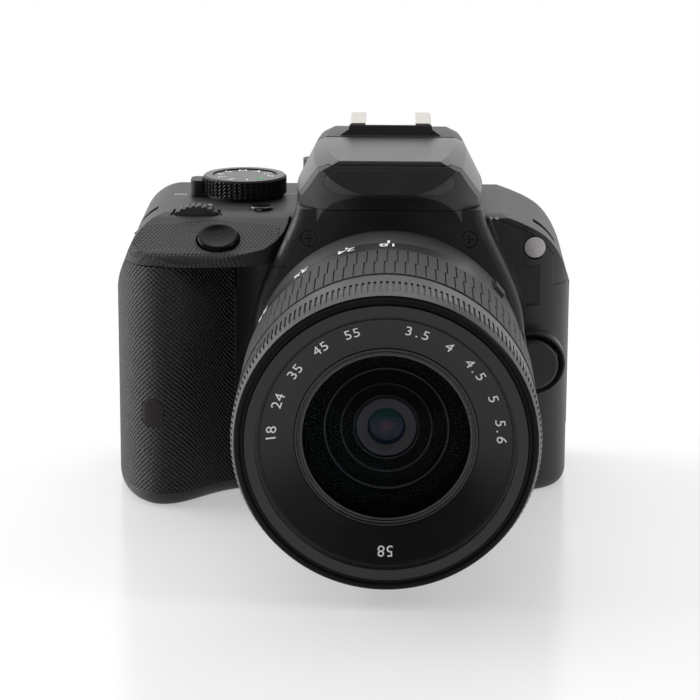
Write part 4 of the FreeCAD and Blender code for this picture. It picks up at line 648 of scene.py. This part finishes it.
def gilt_contact(s):
    """Gilt contacts."""
    lines = s.noise(0.15 * MM, 2.0)
    return s.principled(Base__Color=s.tint(lines, (0.72, 0.5, 0.2), (0.85, 0.64, 0.3)), Metallic=1.0,
                        Roughness=0.25 + lines * 0.12, Normal=s.bump(lines, 0.004 * MM))


def flash_diffuser(s):
    """Ribbed diffuser of the flash."""
    y = s.axes()[1]
    ribs = s.maths("PINGPONG", y, 0.25 * MM)
    return s.principled(Base__Color=s.tint(s.noise(3 * MM), (0.68, 0.7, 0.72), (0.8, 0.82, 0.84)),
                        Roughness=0.15, Coat__Weight=0.5, Normal=s.bump(ribs, 0.6))


SLOT_FINISHES = {
    "black_plastic": body_plastic,
    "grip_rubber": grip_skin,
    "gloss_black": shoulder_gloss,
    "dark_window": window_plastic,
    "black_steel": black_steel,
    "steel": satin_metal,
    "battery_case": battery_case,
    "lamp_lens": lamp_lens,
    "mirror": silvered,
    "sensor": sensor_face,
    "board": circuit_board,
    "prism_glass": silvered,
    "glass": coated_glass,
    "screen": screen_glass,
    "rubber": ring_rubber,
    "key_plastic": key_plastic,
    "lens_plastic": lens_plastic,
}
NODE_FINISHES = {
    "mode_dial": dial_plastic,
    "front_barrel": lens_front,
    "eyepiece_lens": eyepiece_glass,
    "stabiliser_glass": inner_glass,
    "shutter_button": button_gloss,
    "flash_head": lid_plastic,
    "focus_ring": focus_plastic,
    "iso_button": shoulder_gloss,
    "logo_plate": lid_plastic,
    "zoom_ring": ring_plastic,
    "name_ring": ring_plastic,
    "top_cover": top_plastic,
}


def finish(build):
    """Material of a finish, named after it."""
    return material(build.__name__, build)


# Modelling

def deselect():
    """Leaves nothing selected, in object mode."""
    if bpy.context.object and bpy.context.object.mode != "OBJECT":
        bpy.ops.object.mode_set(mode="OBJECT")
    bpy.ops.object.select_all(action="DESELECT")


def pick(*pieces):
    """Selects pieces, the last one active."""
    deselect()
    for piece in pieces:
        piece.select_set(True)
        bpy.context.view_layer.objects.active = piece


def started(add, **how):
    """Adds a primitive with its place in its mesh, and opens it in edit mode."""
    deselect()
    add(**how)
    bpy.ops.object.transform_apply(location=True, rotation=True, scale=True)
    piece = bpy.context.object
    bpy.ops.object.mode_set(mode="EDIT")
    return piece


def choose(piece, kind, test):
    """Selects in edit mode the faces or edges that pass a test on centre and normal or direction."""
    bpy.ops.mesh.select_mode(type=kind)
    bpy.ops.mesh.select_all(action="DESELECT")
    mesh = bmesh.from_edit_mesh(piece.data)
    mesh.normal_update()
    if kind == "FACE":
        for face in mesh.faces:
            face.select_set(bool(test(face.calc_center_median(), face.normal)))
    else:
        for edge in mesh.edges:
            a, b = (v.co for v in edge.verts)
            if test((a + b) / 2, (b - a).normalized()):
                edge.select_set(True)
    mesh.select_flush_mode()
    bmesh.update_edit_mesh(piece.data)


def modified(piece, kind, **settings):
    """Adds a modifier and applies it."""
    pick(piece)
    modifier = piece.modifiers.new(kind.title(), kind)
    for name, value in settings.items():
        setattr(modifier, name, value)
    bpy.ops.object.modifier_apply(modifier=modifier.name)


def bevelled(piece, width, segments=2, angle=35):
    """Rounds a piece's sharp edges."""
    modified(piece, "BEVEL", width=width, segments=segments, limit_method="ANGLE",
             angle_limit=math.radians(angle), harden_normals=False)


def completed(piece, name, body, build, replaces=()):
    """Merges doubles, turns the faces outwards, smooths and dresses a piece, and sets it on its body."""
    pick(piece)
    bpy.ops.object.mode_set(mode="EDIT")
    bpy.ops.mesh.select_all(action="SELECT")
    bpy.ops.mesh.remove_doubles(threshold=0.5e-6)
    bpy.ops.mesh.normals_make_consistent(inside=False)
    bpy.ops.object.mode_set(mode="OBJECT")
    bpy.ops.object.shade_smooth_by_angle(angle=math.radians(32))
    piece.name = name
    piece.data.name = name
    piece.data.materials.clear()
    piece.data.materials.append(finish(build))
    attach(piece, body)
    if replaces:
        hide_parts(*replaces)
    deselect()


def joined(parts):
    """Joins pieces into the last one."""
    pick(*parts)
    if len(parts) > 1:
        bpy.ops.object.join()
    return bpy.context.object


def letters(text, size):
    """Text as a thin mesh centred at the origin, facing +Z."""
    deselect()
    bpy.ops.object.text_add()
    piece = bpy.context.object
    piece.data.body = text
    piece.data.size = size * 1.38
    piece.data.extrude = PRINT_THICK
    piece.data.resolution_u = 4
    piece.data.align_x = "CENTER"
    piece.data.align_y = "CENTER"
    bpy.ops.object.convert(target="MESH")
    return bpy.context.object


def put(piece, centre, facing, up):
    """Sets a flat mesh at a centre, facing one way with its top another way."""
    front = facing.normalized()
    across = up.cross(front).normalized()
    top = front.cross(across)
    piece.data.transform(Matrix.Translation(centre) @ Matrix((across, top, front)).transposed().to_4x4())
    return piece


def outward(turn):
    """Direction away from the lens axis at a turn clockwise from the top, as seen from the front."""
    return Vector((math.sin(turn), 0, math.cos(turn)))


def narrowed(share):
    """Scales what is selected towards the lens axis."""
    bpy.ops.transform.resize(value=(share, 1.0, share), center_override=AXIS)


def bar(width, height):
    """Thin bar with cut corners, centred at the origin and facing +Z."""
    piece = started(bpy.ops.mesh.primitive_cube_add, size=1.0, scale=(width, height, PRINT_THICK * 2))
    choose(piece, "EDGE", lambda c, d: abs(d.z) > 0.9)
    bpy.ops.mesh.bevel(offset=min(width, height) * 0.2, segments=2)
    bpy.ops.object.mode_set(mode="OBJECT")
    return piece


def ring_mark(outer, inner, thick=PRINT_THICK, corners=32):
    """Thin flat ring, centred at the origin and facing +Z."""
    piece = started(bpy.ops.mesh.primitive_cylinder_add, vertices=corners, radius=outer, depth=thick * 2,
                    end_fill_type="NOTHING")
    bpy.ops.mesh.select_all(action="SELECT")
    bpy.ops.mesh.extrude_region()
    bpy.ops.transform.resize(value=(inner / outer, inner / outer, 1.0), center_override=(0, 0, 0))
    bpy.ops.object.mode_set(mode="OBJECT")
    return piece


def triangle(radius, turn, cut):
    """Thin triangle with cut corners, centred at the origin and facing +Z."""
    piece = started(bpy.ops.mesh.primitive_cylinder_add, vertices=3, radius=radius, depth=PRINT_THICK * 2,
                    rotation=(0, 0, turn))
    choose(piece, "EDGE", lambda c, d: abs(d.z) > 0.9)
    bpy.ops.mesh.bevel(offset=cut, segments=2)
    bpy.ops.object.mode_set(mode="OBJECT")
    return piece


# Operators

class REFLEX_OT_finishes(bpy.types.Operator):
    """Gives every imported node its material"""

    bl_idname = "reflex.finishes"
    bl_label = "Finishes"

    def execute(self, context):
        for name, node in NODES.items():
            slot = node.data.materials[0].name.split(".")[0]
            if slot not in SLOT_FINISHES:
                raise RuntimeError(f"no finish for the slot {slot} of {name}")
            node.data.materials[0] = finish(NODE_FINISHES.get(name, SLOT_FINISHES[slot]))
        return {"FINISHED"}


class REFLEX_OT_zoom_rubber(bpy.types.Operator):
    """Models the rubber sleeve of the zoom ring with its two staggered rows of grooves"""

    bl_idname = "reflex.zoom_rubber"
    bl_label = "Zoom Rubber"

    def execute(self, context):
        sizes = context.scene.reflex_sizes
        low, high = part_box("zoom_rubber")
        radius = (high.x - low.x) / 2
        inner = radius - 1.1 * MM
        centre_y = (low.y + high.y) / 2
        columns = sizes.ribs * RIB_COLUMNS
        margin = 0.5 * MM
        jog = 0.22 * MM
        piece = started(bpy.ops.mesh.primitive_cylinder_add, vertices=columns, radius=radius,
                        depth=high.y - low.y, end_fill_type="NOTHING", location=(AXIS_X, centre_y, AXIS_Z),
                        rotation=(math.pi / 2, 0, 0))
        for y in (low.y + margin, centre_y - jog, centre_y + jog, high.y - margin):
            bpy.ops.mesh.select_all(action="SELECT")
            bpy.ops.mesh.bisect(plane_co=(0, y, 0), plane_no=(0, 1, 0))

        def groove(centre, normal):
            if centre.y > high.y - margin or centre.y < low.y + margin:
                return False
            turn = math.atan2(centre.z - AXIS_Z, centre.x - AXIS_X) / (2 * math.pi)
            column = int(math.floor(turn * columns)) % RIB_COLUMNS
            if abs(centre.y - centre_y) < jog:
                return column < 3
            return column == (0 if centre.y > centre_y else 2)

        choose(piece, "FACE", groove)
        bpy.ops.mesh.extrude_region()
        narrowed((radius - sizes.rib_depth) / radius)
        bpy.ops.mesh.select_mode(type="EDGE")
        bpy.ops.mesh.select_all(action="DESELECT")
        bpy.ops.mesh.select_non_manifold()
        bpy.ops.mesh.extrude_region()
        narrowed(inner / radius)
        bpy.ops.mesh.bridge_edge_loops()
        bevelled(piece, 0.07 * MM, 1)
        completed(piece, "zoom_rubber_sleeve", "zoom", ring_rubber, ["zoom_rubber"])
        return {"FINISHED"}


class REFLEX_OT_eyecup(bpy.types.Operator):
    """Models the soft eyecup with its rolled rim"""

    bl_idname = "reflex.eyecup"
    bl_label = "Eyecup"

    def execute(self, context):
        low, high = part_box("eyecup")
        centre = (low + high) / 2
        size = high - low
        piece = started(bpy.ops.mesh.primitive_cube_add, size=1.0, location=centre, scale=size)
        choose(piece, "EDGE", lambda c, d: abs(d.y) > 0.9)
        bpy.ops.mesh.bevel(offset=context.scene.reflex_sizes.cup_round, segments=6)
        choose(piece, "FACE", lambda c, n: abs(n.y) > 0.9)
        bpy.ops.mesh.inset(thickness=4.6 * MM)
        bpy.ops.mesh.bridge_edge_loops()
        choose(piece, "FACE", lambda c, n: n.y > 0.9)
        bpy.ops.mesh.inset(thickness=1.3 * MM)
        bpy.ops.transform.translate(value=(0, -1.3 * MM, 0))
        bevelled(piece, 0.8 * MM, 3, 30)
        completed(piece, "eyecup_rubber", "body", ring_rubber, ["eyecup"])
        return {"FINISHED"}


class REFLEX_OT_lens_baffle(bpy.types.Operator):
    """Models the turned rings seen through the front glass: retainer, ridged baffle and the inner cell"""

    bl_idname = "reflex.lens_baffle"
    bl_label = "Lens Baffle"

    def execute(self, context):
        self.turned("lens_baffle", BAFFLE, LENS_HIGH.y + 19.8 * MM, 0.08 * MM, inner_black)
        self.turned("glass_retainer", RETAINER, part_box("front_element")[1].y - 6.4 * MM, 0.06 * MM,
                    shoulder_gloss)
        self.turned("inner_cell", CELL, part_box("stabiliser_glass")[0].y, 0.2 * MM, inner_grey, 96, 0.05 * MM)
        return {"FINISHED"}

    def turned(self, name, profile, seat, wall, build, corners=128, rounding=0.0):
        """Thin turned ring from a profile of radii and heights ahead of its seat."""
        piece = started(bpy.ops.mesh.primitive_circle_add, vertices=corners, radius=profile[0][0] * MM,
                        location=(AXIS_X, seat - profile[0][1] * MM, AXIS_Z), rotation=(math.pi / 2, 0, 0))
        bpy.ops.mesh.select_mode(type="EDGE")
        bpy.ops.mesh.select_all(action="SELECT")
        for (radius, ahead), (target, further) in zip(profile, profile[1:]):
            bpy.ops.mesh.extrude_region()
            narrowed(target / radius)
            bpy.ops.transform.translate(value=(0, (ahead - further) * MM, 0))
        modified(piece, "SOLIDIFY", thickness=wall, offset=0.0)
        if rounding:
            bevelled(piece, rounding, 2)
        completed(piece, name, "extension", build)


class REFLEX_OT_flash_window(bpy.types.Operator):
    """Models the diffuser under the flash head's lip"""

    bl_idname = "reflex.flash_window"
    bl_label = "Flash Window"

    def execute(self, context):
        low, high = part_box("flash_head")
        centre = Vector((0.0, low.y + 4.1 * MM, high.z - 3.05 * MM))
        piece = started(bpy.ops.mesh.primitive_cube_add, size=1.0, location=centre,
                        scale=(23.4 * MM, 2.8 * MM, 1.6 * MM))
        choose(piece, "FACE", lambda c, n: n.z < -0.9)
        bpy.ops.mesh.inset(thickness=0.3 * MM)
        bpy.ops.mesh.extrude_region()
        bpy.ops.transform.translate(value=(0, 0, 0.35 * MM))
        bevelled(piece, 0.15 * MM, 2)
        completed(piece, "flash_diffuser", "flash", flash_diffuser)
        return {"FINISHED"}


class REFLEX_OT_ring_numbers(bpy.types.Operator):
    """Prints plain numbers round the front glass"""

    bl_idname = "reflex.ring_numbers"
    bl_label = "Ring Numbers"

    def execute(self, context):
        size = context.scene.reflex_sizes.ring_letter
        outer, inner, depth = 27.95 * MM, 22.0 * MM, 2.9 * MM
        radius = 25.4 * MM
        slope = math.atan2(depth, outer - inner)
        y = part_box("name_ring")[0].y + depth * (outer - radius) / (outer - inner)
        pitch = size * 0.74 / radius
        parts = []
        for text, centre in RING_TEXTS:
            start = centre - pitch * (len(text) - 1) / 2
            for index, sign in enumerate(text):
                if sign == " ":
                    continue
                out = outward(start + pitch * index)
                facing = Vector((0, -math.cos(slope), 0)) - out * math.sin(slope)
                place = AXIS + out * radius + BACK * y + facing * (0.02 * MM)
                parts.append(put(letters(sign, size), place, facing, out))
        completed(joined(parts), "name_ring_numbers", "extension", plain_print)
        return {"FINISHED"}


class REFLEX_OT_zoom_scale(bpy.types.Operator):
    """Prints the zoom scale and its index line"""

    bl_idname = "reflex.zoom_scale"
    bl_label = "Zoom Scale"

    def execute(self, context):
        size = context.scene.reflex_sizes.scale_letter
        low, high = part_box("zoom_ring")
        radius = (high.x - low.x) / 2
        parts = []
        for text, degrees in ZOOM_MARKS:
            turn = math.radians(degrees)
            for index, sign in enumerate(text):
                out = outward(turn + (0.5 - index) * size * 0.66 / radius)
                place = AXIS + out * (radius - 0.12 * MM) + BACK * (high.y - 4.6 * MM)
                parts.append(put(letters(sign, size), place, out, FRONT))
            out = outward(turn)
            place = AXIS + out * (radius - 0.28 * MM) + BACK * (high.y - 1.5 * MM)
            parts.append(put(bar(0.5 * MM, 1.4 * MM), place, out, FRONT))
        completed(joined(parts), "zoom_scale", "zoom", plain_print)
        low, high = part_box("lens_barrel")
        place = AXIS + Vector((0, LENS_HIGH.y + 3.0 * MM, (high.x - low.x) / 2))
        line = put(bar(0.6 * MM, 4.0 * MM), place, UP, FRONT)
        completed(line, "zoom_index", "body", plain_print)
        return {"FINISHED"}


class REFLEX_OT_dial_marks(bpy.types.Operator):
    """Prints the marks of the mode dial, its index and the words of the power switch"""

    bl_idname = "reflex.dial_marks"
    bl_label = "Dial Marks"

    def execute(self, context):
        size = context.scene.reflex_sizes.dial_letter
        low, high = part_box("mode_dial")
        centre = (low + high) / 2
        top = high.z - 0.24 * MM
        radius = 6.3 * MM
        parts, greens = [], []
        for index, sign in enumerate(DIAL_SIGNS):
            turn = math.radians(98.0) - index * 2 * math.pi / len(DIAL_SIGNS)
            out = Vector((math.cos(turn), math.sin(turn), 0))
            place = Vector((centre.x, centre.y, top)) + out * radius
            if sign == " ":
                greens.append(put(bar(2.1 * MM, 2.1 * MM), place, UP, out))
            else:
                parts.append(put(letters(sign, size), place, UP, out))
        completed(joined(parts), "dial_numbers", "mode", plain_print)
        completed(joined(greens), "dial_green_mark", "mode", green_print)
        deck = Vector((centre.x, centre.y, DECK_Z))
        parts = []
        for text, degrees in SWITCH_WORDS:
            turn = math.radians(degrees)
            place = deck + Vector((math.cos(turn), math.sin(turn), 0)) * 16.6 * MM
            parts.append(put(letters(text, 1.5 * MM), place, UP, BACK))
        place = deck + Vector((12.4 * MM, 2.0 * MM, 0))
        parts.append(put(bar(2.0 * MM, 0.45 * MM), place, UP, BACK))
        completed(joined(parts), "deck_print", "body", plain_print)
        return {"FINISHED"}


class REFLEX_OT_small_marks(bpy.types.Operator):
    """Prints the marks of the rear keys"""

    bl_idname = "reflex.small_marks"
    bl_label = "Small Marks"

    def execute(self, context):
        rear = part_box("rear_cover")[1].y
        parts = []

        def mark(piece, node, x, z):
            centre = middle(node)
            parts.append(put(piece, Vector((centre.x + x * MM, rear, centre.z + z * MM)), BACK, UP))

        for row in range(3):
            mark(bar(2.2 * MM, 0.35 * MM), "menu_button", 0, 3.3 + row * 0.75)
        mark(letters("i", 2.0 * MM), "info_button", 0, 4.2)
        mark(ring_mark(0.9 * MM, 0.65 * MM), "ae_lock_button", 0, -4.0)
        for x, z in ((-0.9, 0), (0, 0), (0.9, 0), (0, 0.9), (0, -0.9)):
            mark(bar(0.55 * MM, 0.55 * MM), "af_point_button", x, z - 4.2)
        mark(triangle(1.2 * MM, math.pi / 6, 0.15 * MM), "play_button", 0, -4.4)
        mark(bar(1.5 * MM, 1.6 * MM), "delete_button", 0, -4.6)
        mark(bar(2.2 * MM, 0.3 * MM), "delete_button", 0, -3.5)
        completed(joined(parts), "rear_print", "body", plain_print)
        keys = []
        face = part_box("cross_keys")[1].y
        centre = middle("cross_keys")
        for degrees in (0, 90, 180, 270):
            turn = math.radians(degrees)
            out = Vector((math.cos(turn), 0, math.sin(turn)))
            place = Vector((centre.x, face, centre.z)) + out * 7.4 * MM
            keys.append(put(triangle(0.85 * MM, math.pi / 2, 0.1 * MM), place, BACK, out))
        completed(joined(keys), "cross_print", "cross", plain_print)
        return {"FINISHED"}


class REFLEX_OT_microphone(bpy.types.Operator):
    """Models the small sound holes beside the hump"""

    bl_idname = "reflex.microphone"
    bl_label = "Microphone"

    def execute(self, context):
        place = Vector((23.6 * MM, -18.4 * MM, DECK_Z))
        parts = []
        for row in range(2):
            for column in range(3):
                spot = place + Vector((column * 1.5 * MM, row * 1.5 * MM, 0))
                parts.append(put(ring_mark(0.45 * MM, 0.2 * MM, 0.05 * MM, 16), spot, UP, BACK))
        completed(joined(parts), "microphone_holes", "body", shoulder_gloss)
        return {"FINISHED"}


class REFLEX_OT_contacts(bpy.types.Operator):
    """Models the contacts in the accessory shoe"""

    bl_idname = "reflex.contacts"
    bl_label = "Shoe Contacts"

    def execute(self, context):
        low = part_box("hot_shoe")[0]
        floor = low.z + 0.8 * MM
        parts = []
        for x, y, radius in CONTACTS:
            piece = started(bpy.ops.mesh.primitive_cylinder_add, vertices=32, radius=radius * MM,
                            depth=0.7 * MM, location=(x * MM, low.y + y * MM, floor + 0.1 * MM))
            choose(piece, "FACE", lambda c, n: n.z > 0.9)
            bpy.ops.mesh.inset(thickness=0.2 * MM)
            bpy.ops.transform.translate(value=(0, 0, 0.12 * MM))
            bpy.ops.object.mode_set(mode="OBJECT")
            parts.append(piece)
        completed(joined(parts), "shoe_contacts", "body", gilt_contact)
        return {"FINISHED"}


class REFLEX_OT_stage(bpy.types.Operator):
    """Lays the floor, sets the lights and aims the view"""

    bl_idname = "reflex.stage"
    bl_label = "Stage"

    def execute(self, context):
        studio = context.scene.reflex_studio
        deselect()
        bpy.ops.mesh.primitive_plane_add(size=6.0, location=(0, 0, -0.02 * MM))
        floor = context.object
        floor.name = "floor"
        floor.data.materials.append(material("pale_floor", self.floor))
        self.lamp("top_light", (-0.15, 0.5, 0.98), (0.0, 0.0, 0.04), (1.3, 0.75), studio.top)
        self.lamp("left_light", (-1.1, 0.2, 0.5), (0.0, 0.0, 0.04), (0.9, 0.7), studio.left)
        self.lamp("right_light", (0.95, -0.4, 0.75), (0.0, 0.0, 0.03), (0.5, 0.5), studio.right)
        self.world(context, studio)
        self.view(context, studio)
        context.scene.view_settings.view_transform = "Standard"
        return {"FINISHED"}

    def lamp(self, name, place, aim, size, power):
        """One soft rectangular light."""
        deselect()
        bpy.ops.object.light_add(type="AREA", location=place)
        lamp = bpy.context.object
        lamp.name = name
        lamp.data.shape = "RECTANGLE"
        lamp.data.size, lamp.data.size_y = size
        lamp.data.energy = power
        lamp.rotation_euler = (Vector(aim) - Vector(place)).to_track_quat("-Z", "Y").to_euler()

    def floor(self, s):
        """Glossy pale floor that turns to plain white behind the object."""
        studio = bpy.context.scene.reflex_studio
        y = s.axes()[1]
        haze = s.noise(0.2, 2.0)
        base = tuple(studio.floor)
        sheet = s.principled(Base__Color=s.tint(haze, lighter(base, 0.985), base),
                             Roughness=0.16 + haze * 0.04, Specular__IOR__Level=0.8)
        white = s.add("Emission", None, {"Color": (1, 1, 1, 1), "Strength": 1.0})
        far = s.step(y, 0.06, 0.24)
        seen = s.maths("MAXIMUM", s.add("LightPath", output="Is Camera Ray"), s.mirrored())
        return s.add("MixShader", None, {0: seen * (0.42 + far * 0.58), 1: sheet, 2: white})

    def world(self, context, studio):
        """White room seen directly, darker in front of the object where gloss reflects it."""
        world = bpy.data.worlds.new("studio_room")
        context.scene.world = world
        world.use_nodes = True
        s = Surface(world.node_tree)
        x, y, z = s.split(s.add("TexCoord", output="Generated"))
        behind = s.step(y + s.maths("ABSOLUTE", x) * 0.45, -0.25, 0.7)
        overhead = s.step(z, 0.3, 0.85)
        glossy = 0.02 + behind * (1.0 - overhead * 0.85) * 1.1
        camera = s.add("LightPath", output="Is Camera Ray")
        mirror = s.mirrored()
        plain = studio.sky * (0.4 + s.maths("MAXIMUM", behind, overhead) * 0.6)
        level = plain * (1.0 - mirror) + glossy * mirror
        level = camera + level * (1.0 - camera)
        s.output(s.add("Background", None, {"Color": (1, 1, 1, 1), "Strength": level}), "OutputWorld")

    def view(self, context, studio):
        """Camera at the photograph's angle."""
        deselect()
        bpy.ops.object.camera_add()
        camera = context.object
        camera.name = "view"
        camera.data.lens = studio.lens_length
        camera.data.sensor_width = 36.0
        camera.data.clip_start = 0.01
        camera.matrix_world = (Matrix.Translation(VIEW_PLACE * MM)
                               @ Matrix.Rotation(math.radians(VIEW_TURN), 4, "Z")
                               @ Matrix.Rotation(math.radians(VIEW_TILT), 4, "X")
                               @ Matrix.Rotation(math.radians(VIEW_ROLL), 4, "Z"))
        context.scene.camera = camera


class REFLEX_PT_panel(bpy.types.Panel):
    """Lists the steps that dress the camera"""

    bl_label = "Reflex Camera"
    bl_idname = "REFLEX_PT_panel"
    bl_space_type = "VIEW_3D"
    bl_region_type = "UI"
    bl_category = "Camera"

    def draw(self, context):
        layout = self.layout
        for group in (context.scene.reflex_sizes, context.scene.reflex_finishes, context.scene.reflex_studio):
            column = layout.column()
            for name in group.__annotations__:
                column.prop(group, name)
        for operator in OPERATORS:
            layout.operator(operator.bl_idname)


OPERATORS = (
    REFLEX_OT_finishes,
    REFLEX_OT_stage,
    REFLEX_OT_zoom_rubber,
    REFLEX_OT_eyecup,
    REFLEX_OT_lens_baffle,
    REFLEX_OT_flash_window,
    REFLEX_OT_ring_numbers,
    REFLEX_OT_zoom_scale,
    REFLEX_OT_dial_marks,
    REFLEX_OT_small_marks,
    REFLEX_OT_microphone,
    REFLEX_OT_contacts,
)
GROUPS = {"reflex_sizes": ReflexSizes, "reflex_finishes": ReflexFinishes, "reflex_studio": ReflexStudio}


def register():
    """Registers the settings, the operators and the panel."""
    for name, group in GROUPS.items():
        bpy.utils.register_class(group)
        setattr(bpy.types.Scene, name, PointerProperty(type=group))
    for kind in (*OPERATORS, REFLEX_PT_panel):
        bpy.utils.register_class(kind)


def unregister():
    """Takes them away again."""
    for kind in reversed((*OPERATORS, REFLEX_PT_panel)):
        bpy.utils.unregister_class(kind)
    for name, group in GROUPS.items():
        delattr(bpy.types.Scene, name)
        bpy.utils.unregister_class(group)


def main():
    """Runs every step."""
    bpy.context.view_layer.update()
    register()
    for operator in OPERATORS:
        family, name = operator.bl_idname.split(".")
        getattr(getattr(bpy.ops, family), name)()
    deselect()
    bpy.context.view_layer.update()


if __name__ == "__main__":
    main()
